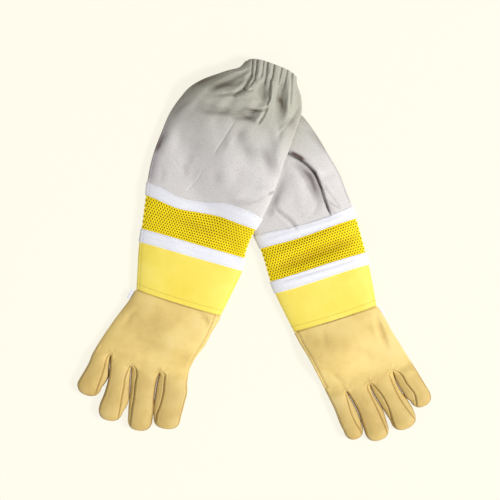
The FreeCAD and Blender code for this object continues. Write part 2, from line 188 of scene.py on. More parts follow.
@dataclass
class Lay:
    """How one glove of the pair lies, in millimetres of its own frame."""

    name: str
    mirror: float          # -1 for the left-hand glove, whose thumb is on the other side
    cuff: float            # leather between the wrist seam and the lower tape
    vent: float            # mesh between the tapes
    little_side: tuple     # (y, x) of the arm's edge on the little-finger side
    thumb_side: tuple      # (y, x) of the arm's edge on the thumb side
    heights: tuple         # (y, height)
    bows: tuple            # (y, seven shifts of a cross line, from the little-finger side)
    palm_little: tuple     # (y, x) of the palm's edges, from the wrist seam to the fingers
    palm_thumb: tuple
    thumb_seam: tuple      # (y, x) of the seam between the back and the wrapped palm leather
    splits: tuple          # x of the lines between fingers, little to index, where they start
    contacts: tuple        # lines where two fingers touch, from the crotch on, little to index
    outlines: dict         # each finger's free sides beyond them: little-finger side, thumb side
    lengths: dict          # from the fold axis to the tip
    leaves: dict           # (distance, offset) along each finger's two seams, None at its edge
    folds: tuple           # of the cotton, with painted shade along them
    vent_folds: tuple      # of the mesh and its tapes
    creases: tuple         # of the leather hand
    side_shade: float      # how far in from its little-finger edge the sleeve is in shade
    tag_reach: float       # how far the tag stands out of its seam
    seed: int

    def place(self):
        """Where the wrist seam's middle lies, and the heading, from the wrist's hinge."""
        return hinge(f"{self.name}_wrist_fold")

    def to_frame(self, x, y, z):
        """Own millimetres to the common frame's millimetres, last axis x, y, z."""
        at_x, at_y, heading = self.place()
        c, s = math.cos(heading), math.sin(heading)
        x = x * self.mirror
        return np.stack([at_x + c * x - s * y, at_y + s * x + c * y, z + 0 * x], axis=-1)

    def spot(self, x, y, z):
        """Own millimetres to one point in metres of the common frame."""
        return tuple(self.to_frame(x, y, z) * MM)

    def from_frame(self, x, y):
        """The common frame's millimetres to own x, y."""
        at_x, at_y, heading = self.place()
        c, s = math.cos(heading), math.sin(heading)
        dx, dy = x - at_x, y - at_y
        return (c * dx + s * dy) * self.mirror, -s * dx + c * dy

    def root(self, finger):
        """Own x, y and lean in radians of a finger's fold axis."""
        x, y, heading = hinge(f"{self.name}_{finger}_curl")
        own_x, own_y = self.from_frame(x, y)
        return own_x, own_y, (heading - self.place()[2]) * self.mirror


def hinge(name):
    """Place in millimetres and heading about Z of a hinge of the frame."""
    joint = next(j for j in frame["joints"] if j["name"] == name)
    x, y = (c / MM for c in joint["pos_m"][:2])
    return x, y, math.atan2(joint["axis"][1], joint["axis"][0])


TAPE_WIDTH = 16.0
TAPE_EDGE = 1.6            # from a tape's edge to its stitches
SLEEVE_LENGTH = 164.0
HEM_LENGTH = 27.0
KNUCKLES = 88.0            # wrist seam to the fold line of the fingers
JOIN = 80.0                # wrist seam to where the finger pieces take over from the hand
HAND_HEIGHT = 18.0
FINGER_HEIGHT = 15.0
TIP_LENGTH = 13.0          # of the round end of a finger
TOUCH_GAP = 0.25           # a finger keeps this far from the line where two touch
BELLY = 0.4                # height of the widest place over the whole height
CLOTH_INSET = 1.1          # the fabric lies this far inside the tapes
NET_WALL = 0.7             # height of a hole's wall in the vent's face
CORE_INSET, CORE_WALL = 2.6, 0.8       # of the vent's spacer threads
LINING_INSET, LINING_WALL = 3.8, 0.5   # of the vent's inner net
HEM_WALL = 2.6             # of the hem's folded cloth
ELASTIC_INSET, ELASTIC_WALL = 2.1, 1.0
FLOOR_GAP = 0.35           # under the tapes, for their stitches
FINGERS = ("index", "middle", "ring", "little")
AROUND = 4.2               # way round the arm over half its flat width, with the sides' turn
THUMB_LENGTH = 45.0        # from the middle of its near round end to its tip
THUMB_HALF = 13.0          # half its width
THUMB_LEAN = math.radians(50.0)    # of the folded thumb across the palm
THUMB_X = 36.0             # of its hinge
THUMB_RISE = 8.3           # how far it lifts the hand over it
SEAM_THREAD = 1.8          # length of a stitch on the arm's seams

# Lines on the right sleeve that carry both a hollow and a painted shade
UPPER_STREAK = ((-1.0, 235.7), (8.3, 224.6), (19.2, 212.5), (30.3, 203.6), (40.4, 191.2))
LOWER_STREAK = ((34.6, 219.8), (46.4, 211.7), (61.0, 197.6), (71.0, 181.5))
LONG_CREASE = ((2.0, 240.0), (-4.4, 215.0), (-13.0, 184.0))

RIGHT = Lay(
    name="right", mirror=1.0, cuff=58.5, vent=39.5, side_shade=17.0, tag_reach=6.2, seed=3,
    little_side=((0, -56.0), (20, -61.0), (57.8, -70.0), (74.5, -72.6), (116.7, -80.6),
                 (132.2, -83.3), (149.1, -85.3), (172.8, -86.2), (196.2, -84.7), (226.8, -81.1),
                 (246.4, -74.6), (263.1, -66.2), (276.0, -54.0), (290.1, -35.4), (302.9, -18.7),
                 (321.0, -10.8)),
    thumb_side=((0, 57.0), (30, 62.0), (61.4, 66.0), (77.7, 63.8), (115.8, 67.0), (131.1, 70.8),
                (150.6, 73.6), (170.7, 75.1), (197.2, 76.1), (223.6, 77.0), (250.1, 77.9),
                (276.5, 77.3), (288.8, 72.8), (305.2, 63.8), (321.0, 59.0)),
    heights=((0, 18.0), (66.5, 20.0), (122, 21.0), (174, 20.0), (233, 19.0), (271, 18.0),
             (294, 18.5), (321, 19.0)),
    bows=((0, (0, -0.9, -1.7, -2.0, -1.8, -1.1, 0)),
          (58.5, (-0.7, 0.0, 0.6, 1.1, 1.7, 2.3, 2.9)),
          (74.5, (0.0, 0.6, 1.2, 1.6, 2.1, 2.7, 3.2)),
          (114.0, (2.7, 0.9, -1.8, 1.5, 4.0, 2.6, 1.8)),
          (130.0, (2.2, 0.5, -3.9, -0.6, 5.6, 5.4, 1.1)),
          (185.0, (0, 0, 0, 0, 0, 0, 0)),
          (294.0, (0, 0, 0, 0, 0, 0, 0)),
          (321.0, (-8.0, -3.0, -0.6, -0.8, -1.4, -2.7, -7.0))),
    palm_little=((0, -55.6), (-15.3, -59.5), (-32.5, -65.8), (-73.7, -79.0), (-102.0, -85.7)),
    palm_thumb=((0, 56.2), (-4.9, 56.0), (-21.3, 51.8), (-41.2, 48.2), (-62.9, 40.6),
                (-76.0, 38.6), (-95.9, 41.3)),
    thumb_seam=((0, 48.3), (-19.6, 47.2), (-39.7, 43.6), (-66.4, 37.4), (-80.0, 37.4)),
    splits=(-60.4, -29.6, 4.0),
    contacts=(((-61.4, -88.6), (-58.7, -101.5), (-55.6, -117.9)),
              ((-31.7, -93.7), (-29.7, -105.5), (-25.2, -123.7), (-22.2, -137.2)),
              ((4.5, -90.3), (4.1, -100.9), (6.6, -119.5), (12.4, -145.2))),
    outlines={"little": (((-85.1, -106.7), (-89.7, -127.3), (-91.2, -134.0)),
                         ((-57.4, -124.6), (-59.7, -130.6))),
              "ring": (((-55.3, -141.0), (-56.2, -150.0), (-55.9, -156.0)),
                       ((-23.2, -146.0), (-26.0, -154.4))),
              "middle": (((-19.3, -149.8), (-17.2, -158.2)), ((13.3, -151.0),)),
              "index": (((14.9, -150.5),), ((44.2, -102.4), (45.7, -119.5), (46.2, -136.9)))},
    lengths={"index": 69.0, "middle": 81.3, "ring": 79.5, "little": 57.6},
    leaves={"index": (((7.5, -12.2), (21.9, -11.3), (37.8, -12.4), (51.5, -15.3)), None),
            "middle": (((3.5, -15.7), (10.4, -13.6), (22.6, -14.0), (39.4, -13.7),
                        (55.1, -14.2)), None),
            "ring": (None, ((10.1, 7.7), (20.1, 5.2), (34.7, 5.2), (46.9, 4.9), (62.6, 5.0))),
            "little": (None, ((8.1, 7.7), (24.2, 8.6), (40.7, 8.4)))},
    folds=(
        ("valley", 2.0, 1.2, ((-2.4, 323.0), (1.7, 304.9), (5.2, 290.3))),
        ("valley", 2.8, 1.2, ((3.1, 325.0), (7.3, 306.6), (8.6, 294.0), (4.6, 279.6))),
        ("valley", 1.8, 1.0, ((11.0, 325.0), (14.5, 308.0), (15.6, 296.0))),
        ("valley", 2.6, 1.2, ((16.2, 325.0), (20.3, 308.1), (22.6, 288.1))),
        ("valley", 2.8, 1.2, ((25.9, 325.0), (27.7, 310.4), (30.0, 296.5))),
        ("valley", 2.0, 1.1, ((35.8, 325.0), (37.5, 308.2), (39.3, 292.3))),
        ("valley", 1.6, 1.1, ((43.0, 325.0), (45.5, 306.0), (47.5, 292.0))),
        ("valley", 2.6, 1.4, ((48.5, 325.0), (55.9, 295.6), (62.1, 268.3))),
        ("ridge", 2.2, 3.2, ((7.5, 326.0), (11.5, 306.0), (14.0, 288.0))),
        ("ridge", 2.4, 3.6, ((21.0, 326.0), (25.0, 308.0), (26.5, 290.0))),
        ("ridge", 1.8, 3.4, ((31.0, 326.0), (33.0, 308.0), (36.0, 288.0))),
        ("ridge", 2.4, 4.4, ((50.0, 320.0), (53.0, 300.0), (58.0, 270.0))),
        ("tuck", 3.6, 1.8, ((27.5, 306.0), (31.0, 293.0), (35.2, 276.0), (33.5, 262.5))),
        ("tuck", 6.4, 3.0, ((-14.0, 243.0), (4.0, 251.5), (19.3, 257.6), (31.0, 262.5),
                            (37.5, 272.0))),
        ("valley", 3.2, 4.5, ((-8.0, 238.0), (8.0, 245.0), (22.0, 250.0), (30.0, 253.0))),
        ("ridge", 2.6, 5.0, ((-20.0, 256.0), (0.0, 262.0), (20.0, 268.0), (34.0, 276.0))),
        ("valley", 2.8, 1.5, ((33.9, 267.0), (33.0, 254.5), (29.0, 240.0))),
        ("roll", 2.6, 2.6, ((28.0, 238.0), (33.5, 252.0), (35.0, 268.0))),
        ("valley", 3.8, 2.2, ((4.0, 303.0), (1.1, 286.4), (-0.2, 278.1), (-9.7, 267.6),
                              (-26.0, 265.0))),
        ("valley", 3.0, 1.6, ((-3.2, 278.1), (4.9, 277.4), (12.7, 280.9))),
        ("ridge", 2.0, 3.2, ((-24.0, 260.0), (-4.0, 268.0), (10.0, 272.0), (22.0, 266.0))),
        ("valley", 5.4, 9.0, ((14.0, 302.0), (-8.0, 288.0), (-34.0, 276.0), (-58.0, 262.0))),
        ("valley", 4.6, 6.5, ((17.0, 300.0), (23.0, 280.0), (31.0, 262.0))),
        ("valley", 5.4, 6.5, ((38.0, 308.0), (44.5, 284.0), (54.0, 252.0))),
        ("ridge", 2.8, 4.0, ((56.0, 296.0), (58.0, 278.0), (62.0, 252.0))),
        ("valley", 3.4, 7.0, ((-60.0, 236.0), (-34.0, 243.0), (-6.0, 246.0), (20.0, 252.0))),
        ("roll", 3.6, 5.5, ((4.0, 246.0), (-3.0, 222.0), (-12.0, 184.0))),
        ("valley", 2.0, 6.5, ((12.0, 244.0), (9.0, 226.0), (8.0, 200.0))),
        ("valley", 0.5, 1.1, LONG_CREASE),
        ("valley", 1.7, 8.0, UPPER_STREAK),
        ("valley", 2.0, 8.0, LOWER_STREAK),
        ("ridge", 2.6, 8.0, ((56.0, 262.0), (63.0, 224.0), (69.0, 180.0))),
        ("tuck", 1.8, 3.0, ((54.0, 232.0), (65.0, 256.0), (72.0, 286.0))),
        ("valley", 2.4, 4.0, ((52.0, 252.0), (58.0, 240.0), (60.0, 226.0))),
        ("valley", 4.4, 1.7, ((84.0, 169.5), (74.5, 167.5), (65.0, 162.0))),
        ("ridge", 1.5, 4.0, ((78.0, 174.0), (66.0, 168.0), (50.0, 164.0))),
        ("valley", 1.4, 6.0, ((14.0, 139.0), (32.0, 140.0), (54.0, 150.0))),
        ("valley", 0.4, 1.1, ((-18.0, 172.0), (-23.0, 152.0), (-33.0, 132.0))),
        ("valley", 0.3, 1.0, ((-62.0, 174.0), (-52.0, 164.0), (-44.0, 158.0))),
        ("valley", 1.6, 7.0, ((-8.0, 176.0), (0.0, 164.0), (6.0, 150.0))),
        ("roll", 1.4, 5.0, ((-36.0, 196.0), (-44.0, 168.0), (-40.0, 140.0))),
        ("ridge", 1.8, 9.0, ((-66.0, 236.0), (-70.0, 206.0), (-68.0, 170.0))),
        ("valley", 1.4, 6.0, ((-78.0, 226.0), (-82.0, 196.0), (-78.0, 160.0))),
        ("valley", 0.6, 3.5, ((-72.0, 160.0), (-66.0, 146.0), (-68.0, 134.0))),
        # Painted shade: darker bands in the cloth's colour beside the folds, where they keep the
        # light off
        ("shade", 0.42, 9.0, ((-43.1, 265.0), (-24.7, 275.7), (-6.7, 282.6))),
        ("shade", 0.4, 3.0, ((-38.4, 255.0), (-15.7, 266.8), (2.2, 274.2))),
        ("shade", 0.3, 6.0, ((-47.5, 234.5), (-28.3, 237.4), (-9.0, 245.3), (3.7, 254.2))),
        ("shade", 0.6, 3.0, ((-1.9, 247.5), (9.6, 255.4), (30.2, 258.7), (36.8, 267.6))),
        ("shade", 0.4, 5.0, ((3.7, 246.4), (22.1, 245.0), (32.9, 240.0))),
        ("shade", 0.5, 7.0, ((40.3, 284.2), (51.4, 275.3), (56.8, 263.0))),
        ("shade", 0.32, 6.0, ((58.7, 241.9), (62.2, 250.7), (70.4, 264.1))),
        ("shade", 0.32, 15.0, UPPER_STREAK),
        ("shade", 0.32, 15.0, LOWER_STREAK),
        ("shade", 0.3, 1.3, LONG_CREASE),
        ("shade", 0.3, 5.0, ((-74.7, 217.4), (-68.8, 233.2), (-56.8, 249.3))),
        ("shade", 0.26, 6.0, ((-84.7, 167.7), (-79.1, 186.5), (-75.0, 203.3))),
        ("shade", 0.2, 3.5, ((42.2, 140.6), (57.8, 150.1), (69.0, 164.1))),
        ("shade", 0.22, 5.0, ((-46.2, 170.4), (-40.3, 161.4), (-34.3, 152.4))),
    ),
    vent_folds=(
        ("valley", 1.6, 8.0, ((66.0, 92.0), (20.0, 96.0), (-40.0, 100.0), (-84.0, 96.0))),
        ("ridge", 1.2, 7.0, ((-84.0, 108.0), (-40.0, 112.0), (0.0, 106.0))),
        ("ridge", 0.8, 2.5, ((-78.0, 124.0), (-30.0, 121.0), (20.0, 128.0), (70.0, 127.0))),
        ("valley", 0.7, 2.0, ((-70.0, 66.0), (-30.0, 68.0), (10.0, 66.5), (60.0, 68.0))),
    ),
    creases=(
        ("valley", 1.6, 3.0, ((24.3, -2.3), (38.0, -8.5), (47.7, -18.6))),
        ("roll", 1.2, 3.0, ((5.8, -18.5), (-13.5, -11.4), (-32.9, -12.2), (-48.7, -11.9))),
        ("valley", 1.0, 4.0, ((-43.3, -20.7), (-52.3, -34.0), (-55.0, -50.5))),
        ("ridge", 1.2, 7.0, ((34.0, -50.0), (14.0, -58.0), (-16.0, -60.0))),
        ("valley", 0.3, 5.0, ((15.3, -57.5), (25.9, -62.0), (36.0, -69.3))),
    ) + puckers(
        ((-61.3, -88.2), (-64.6, -84.5), (-67.1, -81.0)),
        ((-61.3, -88.2), (-59.6, -84.0), (-58.7, -78.5)),
        ((-31.7, -93.1), (-34.6, -89.8), (-37.7, -86.1)),
        ((-31.7, -93.1), (-29.0, -88.8), (-26.8, -84.3)),
        ((4.5, -90.3), (0.8, -87.6), (-2.9, -84.4)),
        ((4.5, -90.3), (9.0, -86.3), (12.6, -81.5)),
        ((9.1, -91.1), (13.2, -89.4), (17.5, -87.3)),
    ),
)
LEFT = Lay(
    name="left", mirror=-1.0, cuff=52.5, vent=43.0, side_shade=5.0, tag_reach=4.4, seed=8,
    little_side=((0, -55.4), (30, -59.4), (60.5, -62.2), (90, -63.8), (119.5, -64.3),
                 (149.4, -62.5), (173.4, -60.9), (197.5, -55.4), (225.8, -48.7), (252.2, -40.0),
                 (291.5, -15.6), (318.5, 7.0)),
    thumb_side=((0, 55.4), (60.5, 64.2), (119.5, 65.3), (171.8, 78.8), (230.8, 85.0),
                (268.5, 87.0), (291.5, 88.0), (318.5, 79.0)),
    heights=((0, 18.0), (60.5, 20.0), (119.5, 21.0), (171.8, 22.0), (230.8, 22.5),
             (268.5, 20.5), (291.5, 19.2), (318.5, 19.0)),
    bows=((0, (0, -0.7, -1.4, -1.7, -1.4, -0.7, 0)),
          (52.5, (-0.4, 0.2, 0.4, 0.0, -0.3, -0.2, 0.6)),
          (68.5, (-0.8, -0.2, 0.3, 0.3, 0.0, 0.0, 0.4)),
          (111.5, (0.6, 0.8, 0.2, -0.8, -1.0, -0.2, 0.8)),
          (127.5, (0.2, -1.4, -3.2, -3.0, -1.6, 0.4, 1.4)),
          (175.0, (0, 0, 0, 0, 0, 0, 0)),
          (291.5, (0, 0, 0, 0, 0, 0, 0)),
          (318.5, (-6.0, -2.0, -0.5, 0.0, -0.5, -2.0, -6.0))),
    palm_little=((0, -55.0), (-6.4, -57.0), (-38.3, -63.6), (-52.0, -67.3), (-75.6, -73.2),
                 (-97.0, -79.3), (-110.0, -82.5)),
    palm_thumb=((0, 54.6), (-15.5, 51.9), (-34.5, 47.2), (-60.0, 42.5), (-78.7, 39.4),
                (-93.8, 37.3), (-110.0, 35.5)),
    thumb_seam=((0, 50.5), (-20.0, 47.0), (-40.0, 42.6), (-66.4, 38.2), (-80.0, 36.0)),
    splits=(-49.5, -17.6, 14.6),
    contacts=(((-49.0, -84.4), (-49.1, -95.6), (-51.9, -111.5), (-55.6, -123.2)),
              ((-16.8, -90.6), (-17.2, -103.7), (-20.3, -116.7), (-23.0, -127.3)),
              ((14.3, -90.5), (10.4, -107.0), (8.1, -122.3), (8.1, -137.7))),
    outlines={"little": (((-85.0, -120.4),), ((-58.4, -127.0),)),
              "ring": (((-58.8, -136.3), (-59.6, -145.0)), ((-24.5, -133.7), (-26.6, -140.9))),
              "middle": (((-23.1, -134.5), (-22.7, -147.0)), ((8.0, -143.0),)),
              "index": (((8.8, -143.0),), ((35.7, -106.3), (33.8, -131.0), (32.8, -136.5)))},
    lengths={"index": 64.2, "middle": 74.2, "ring": 71.2, "little": 51.5},
    leaves={"index": (((8.1, -10.6), (26.4, -8.4), (44.0, -9.0), (56.0, -12.0)), None),
            "middle": (((8.4, -7.1), (31.6, -9.9), (60.9, -13.0)), None),
            "ring": (((3.6, -7.4), (28.0, -7.7), (50.0, -11.5), (62.0, -15.0)),
                     ((1.8, 16.2), (16.1, 11.4), (36.4, 9.3), (55.1, 11.3))),
            "little": (None, ((-7.4, 11.2), (-1.4, 6.9), (16.1, 4.6), (33.6, 2.2), (45.5, 5.8)))},
    folds=(
        ("valley", 3.2, 6.5, ((-22.0, 140.0), (-22.0, 162.0), (-20.0, 180.0), (-12.0, 196.0),
                              (0.0, 206.0))),
        ("tuck", 7.5, 2.2, ((-33.6, 168.0), (-31.8, 182.5), (-26.0, 194.7), (-17.6, 205.2),
                            (-7.0, 216.0), (6.0, 226.0))),
        ("tuck", 4.2, 2.2, ((-34.5, 122.0), (-33.7, 145.4), (-33.6, 162.0), (-32.4, 178.0))),
        ("valley", 2.0, 2.2, ((-34.0, 168.0), (-39.0, 150.0), (-47.5, 128.0))),
        ("tuck", 1.8, 3.0, ((-27.0, 258.0), (-33.1, 242.6), (-40.8, 225.7), (-47.8, 206.5),
                            (-53.8, 184.0))),
        ("valley", 2.2, 6.0, ((-2.0, 200.0), (4.9, 189.1), (17.3, 174.7), (32.2, 161.0),
                              (46.0, 147.0))),
        ("valley", 2.2, 2.4, ((32.0, 158.0), (26.0, 147.3), (18.8, 137.1), (11.0, 119.0))),
        ("ridge", 1.4, 9.0, ((-10.0, 196.0), (-6.0, 166.0), (-2.0, 136.0))),
        ("valley", 1.0, 3.5, ((-26.0, 150.0), (-20.0, 140.0), (-8.0, 132.0))),
        ("ridge", 1.6, 8.0, ((-44.0, 214.0), (-50.0, 186.0), (-54.0, 150.0))),
        # Painted shade and shadow: beside the big tuck, and along the edge of the glove over this
        # sleeve
        ("shade", 1.0, 4.6, ((-6.0, 219.5), (-18.0, 207.0), (-26.0, 197.5))),
        ("shade", 0.42, 4.0, ((-27.0, 196.0), (-31.5, 183.0), (-33.0, 166.0), (-33.2, 146.0))),
        ("shade", 0.44, 13.0, ((-11.5, 209.0), (-20.5, 193.0), (-26.5, 175.0), (-28.5, 155.0),
                               (-29.5, 132.5))),
        ("shade", 0.3, 6.0, ((-6.8, 205.3), (5.0, 191.5), (17.9, 176.9), (32.1, 154.5),
                            (49.6, 137.3))),
        ("shade", 0.3, 7.0, ((-36.3, 239.5), (-46.0, 219.8), (-52.9, 195.9))),
        ("shade", 0.4, 2.4, ((-33.5, 152.3), (-32.2, 134.1), (-34.9, 122.9))),
        ("shade", 0.45, 2.0, ((-33.6, 148.2), (-39.7, 137.9), (-47.3, 127.9))),
        ("shade", 0.3, 6.0, ((-33.7, 141.9), (-37.3, 130.4), (-41.4, 123.9))),
    ),
    vent_folds=(
        ("valley", 4.2, 7.5, ((72.0, 80.0), (39.7, 83.4), (0.0, 86.0), (-39.7, 87.0),
                              (-70.0, 92.0))),
        ("ridge", 2.4, 6.5, ((66.0, 96.0), (15.1, 101.0), (-32.3, 104.8), (-66.0, 104.0))),
        ("ridge", 1.0, 3.0, ((60.0, 62.0), (20.0, 61.0), (-20.0, 60.0), (-60.0, 62.0))),
        ("valley", 0.8, 2.0, ((60.0, 66.0), (20.0, 65.0), (-20.0, 64.0), (-60.0, 64.0))),
        ("ridge", 0.8, 2.5, ((60.0, 119.0), (10.0, 119.0), (-30.0, 118.0), (-60.0, 120.0))),
    ),
    creases=(
        ("valley", 1.8, 3.6, ((-51.0, -6.0), (-50.4, -25.2), (-50.6, -41.0), (-52.1, -60.0))),
        ("ridge", 0.8, 4.0, ((-42.0, -8.0), (-42.0, -26.0), (-43.0, -44.0))),
        ("valley", 0.6, 4.0, ((18.7, -3.2), (19.7, -18.7), (23.0, -33.4))),
        ("valley", 0.8, 3.0, ((26.6, -61.1), (17.7, -74.4), (10.4, -84.6))),
        ("valley", 0.7, 5.0, ((-9.9, -37.2), (-23.9, -50.9), (-32.0, -66.5))),
    ) + puckers(
        ((-48.9, -83.7), (-47.2, -80.0), (-46.0, -75.2)),
        ((-48.9, -83.7), (-52.0, -80.3), (-55.7, -76.7)),
        ((-16.9, -89.3), (-15.4, -85.0), (-14.1, -80.8)),
        ((-16.9, -89.3), (-20.5, -86.0), (-24.0, -83.5)),
        ((14.7, -89.8), (16.6, -84.5), (18.0, -78.5)),
        ((14.7, -89.8), (11.0, -86.3), (6.3, -81.9)),
    ),
)


# ---------------------------------------------------------------- meshes

def add_mesh(name, lay, points, faces, maps=None, marks=None, ring=None):
    """A mesh object from own-frame points (n, 3) and faces; maps is a flat place per point in
    millimetres, marks is a 0 to 1 shade per point. ring gives the columns of a closed ring and
    its length, so that the map runs on over the last column. Open edges are kept sharp, so
    that a wall's rim doesn't round off the skin beside it."""
    placed = lay.to_frame(points[:, 0], points[:, 1], points[:, 2]) * MM
    if lay.mirror < 0:
        faces = faces[:, ::-1]
    mesh = bpy.data.meshes.new(name)
    mesh.from_pydata(placed, [], faces.tolist())
    mesh.shade_smooth()
    order = np.empty(len(mesh.loops), dtype=np.int32)
    mesh.loops.foreach_get("vertex_index", order)
    if maps is not None:
        layer = mesh.uv_layers.new(name="cloth")
        flat = maps[order].reshape(-1, 4, 2)
        if ring is not None:
            columns, length = ring
            column = order.reshape(-1, 4) % columns
            flat[..., 0] += length * ((column == 0) & (column.max(axis=1) == columns - 1)[:, None])
        layer.uv.foreach_set("vector", (flat * MM).astype(np.float32).ravel())
    uses = np.empty(len(mesh.loops), dtype=np.int32)
    mesh.loops.foreach_get("edge_index", uses)
    sharp = mesh.attributes.new("sharp_edge", "BOOLEAN", "EDGE")
    sharp.data.foreach_set("value", np.bincount(uses, minlength=len(mesh.edges)) == 1)
    if marks is not None:
        # the depth attribute carries painted shade, which the finishes mix into their colour
        shade = mesh.attributes.new("depth", "FLOAT", "POINT")
        shade.data.foreach_set("value", np.clip(marks, 0.0, 1.0).astype(np.float32))
    mesh.validate()
    mesh.update()
    piece = bpy.data.objects.new(name, mesh)
    bpy.context.scene.collection.objects.link(piece)
    return piece


def grid_faces(rows, columns, ring=False):
    """Quads of a grid of rows by columns; ring joins its last column to its first."""
    across = np.arange(columns if ring else columns - 1)
    down = np.arange(rows - 1)[:, None]
    near, far = across + 0 * down, (across + 1) % columns + 0 * down
    return np.stack([down * columns + near, down * columns + far,
                     (down + 1) * columns + far, (down + 1) * columns + near],
                    axis=-1).reshape(-1, 4)


def grid_piece(name, lay, grid, ring=False, maps=None, marks=None, flip=False, length=None):
    """A piece from a grid of points (rows, columns, 3)."""
    rows, columns = grid.shape[:2]
    faces = grid_faces(rows, columns, ring)
    if flip:
        faces = faces[:, ::-1]
    return add_mesh(name, lay, grid.reshape(-1, 3), faces,
                    None if maps is None else maps.reshape(-1, 2),
                    None if marks is None else marks.reshape(-1),
                    (columns, length) if length else None)


def thicken(piece, wall):
    """Gives a skin its wall, inwards from its outer face."""
    solid = piece.modifiers.new("wall", "SOLIDIFY")
    solid.thickness = wall * MM
    solid.offset = -1.0
    solid.use_rim = True
    return piece


def finish_piece(piece, material, slot, body, *nodes):
    """Gives a piece its finish and its body, and puts it in place of the frame's nodes."""
    piece.data.materials.append(material)
    if body is not None:
        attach(piece, body)
    if nodes:
        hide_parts(*nodes)
    return piece


def run_length(points):
    """Length along a line of points (n, 3), from its start."""
    return np.concatenate([[0.0], np.cumsum(np.linalg.norm(np.diff(points, axis=0), axis=1))])


def stitches(points, ups, pitch, length, width, lift=0.0):
    """Stitches laid along a line: each is a small six-sided bead, pointed at its ends.

    points (n, 3) is the line and ups (n, 3) its outward direction. Returns points and faces.
    """
    gone = run_length(points)
    count = max(2, int(gone[-1] / pitch))
    at = (np.arange(count) + 0.5) * gone[-1] / count
    middle = np.stack([np.interp(at, gone, points[:, k]) for k in range(3)], axis=-1)
    ahead = np.stack([np.interp(at + 0.4 * pitch, gone, points[:, k]) for k in range(3)], axis=-1)
    behind = np.stack([np.interp(at - 0.4 * pitch, gone, points[:, k]) for k in range(3)], axis=-1)
    along = ahead - behind
    along /= np.linalg.norm(along, axis=1, keepdims=True) + 1e-9
    up = np.stack([np.interp(at, gone, ups[:, k]) for k in range(3)], axis=-1)
    up /= np.linalg.norm(up, axis=1, keepdims=True) + 1e-9
    across = np.cross(along, up)
    profile = ((-0.5, 0.25), (-0.3, 1.0), (0.3, 1.0), (0.5, 0.25))
    angles = np.arange(6) * math.pi / 3
    rings = []
    for share, size in profile:
        for angle in angles:
            rings.append(middle + along * share * length
                         + across * math.cos(angle) * width / 2 * size
                         + up * (math.sin(angle) * width / 2 * size + lift))
    verts = np.stack(rings, axis=1).reshape(-1, 3)
    quads = grid_faces(len(profile), 6, ring=True)
    base = np.arange(count)[:, None, None] * 6 * len(profile)
    return verts, (quads[None] + base).reshape(-1, 4)


def join_parts(parts):
    """Puts several (points, faces) together."""
    points, faces, base = [], [], 0
    for verts, quads in parts:
        points.append(verts)
        faces.append(quads + base)
        base += len(verts)
    return np.concatenate(points), np.concatenate(faces)


def upward(line):
    """A line with straight up as its outward direction."""
    return line, np.broadcast_to((0.0, 0.0, 1.0), line.shape)


def sew(name, lay, lines, thread, slot, body, length, width, lift):
    """One object of stitches along lines, each (points, outward directions)."""
    pitch = bpy.context.scene.glove_sizes.stitch / MM
    points, faces = join_parts([stitches(line, ups, pitch, length, width, lift)
                                for line, ups in lines])
    return finish_piece(add_mesh(name, lay, points, faces), finish(f"seam_thread_{thread}"),
                        slot, body)


def leather_piece(name, lay, grid, body, *nodes, **form):
    """A piece of hand leather with its thickness, from a grid of points."""
    piece = grid_piece(name, lay, grid, **form)
    thicken(piece, bpy.context.scene.glove_sizes.leather / MM)
    return finish_piece(piece, finish("hand_leather_buffed"), "hand_leather", body, *nodes)


# ---------------------------------------------------------------- the arm of a glove

def arm_marks(lay):
    """Distances of the seams up the arm: tape edges, mesh edges, hem and end."""
    lower = lay.cuff
    upper = lay.cuff + TAPE_WIDTH + lay.vent
    cotton = upper + TAPE_WIDTH
    hem = cotton + SLEEVE_LENGTH
    return {"lower": lower, "upper": upper, "mesh_start": lower + TAPE_WIDTH / 2,
            "mesh_end": upper + TAPE_WIDTH / 2, "cotton": cotton, "hem": hem,
            "end": hem + HEM_LENGTH}


def bow(lay, across, along):
    """Shift along y of a cross line: smooth across between its seven places and along."""
    spots = np.array([-1.0, -0.75, -0.4, 0.0, 0.33, 0.66, 1.0])
    lines = np.stack([through(spots, shifts, across) for _, shifts in lay.bows])
    places = np.array([place for place, _ in lay.bows], float)
    i = np.clip(np.searchsorted(places, along, side="right") - 1, 0, len(places) - 2)
    t = smooth((along - places[i]) / (places[i + 1] - places[i]))
    near = np.take_along_axis(lines, i[None], axis=0)[0]
    far = np.take_along_axis(lines, (i + 1)[None], axis=0)[0]
    return near + (far - near) * t


def arm_edges(lay, along):
    """Middle, half width and height of the arm at a distance up it."""
    little = through(*zip(*lay.little_side), along)
    thumb = through(*zip(*lay.thumb_side), along)
    return (little + thumb) / 2, (thumb - little) / 2, through(*zip(*lay.heights), along)


def crown(across):
    """Height share of the upper side over the belly, 1 in the middle and 0 at the edges."""
    return np.clip(1.0 - np.abs(across) ** 2.4, 0.0, 1.0) ** 0.5


def flutes(lay, x, y):
    """Soft flutes that run down from the gathered hem and spread out: two sine waves across
    the sleeve, strongest at the hem's seam and gone 90 mm below it."""
    marks = arm_marks(lay)
    middle, half, _ = arm_edges(lay, np.clip(y, marks["cotton"], marks["end"]))
    across = (x - middle) / half
    size = smooth((y - marks["hem"] + 90.0) / 75.0) * smooth((marks["hem"] + 16.0 - y) / 16.0)
    return size * (0.8 * np.sin(17.0 * across + 0.02 * y + lay.seed)
                   + 0.5 * np.sin(29.0 * across - 0.03 * y))


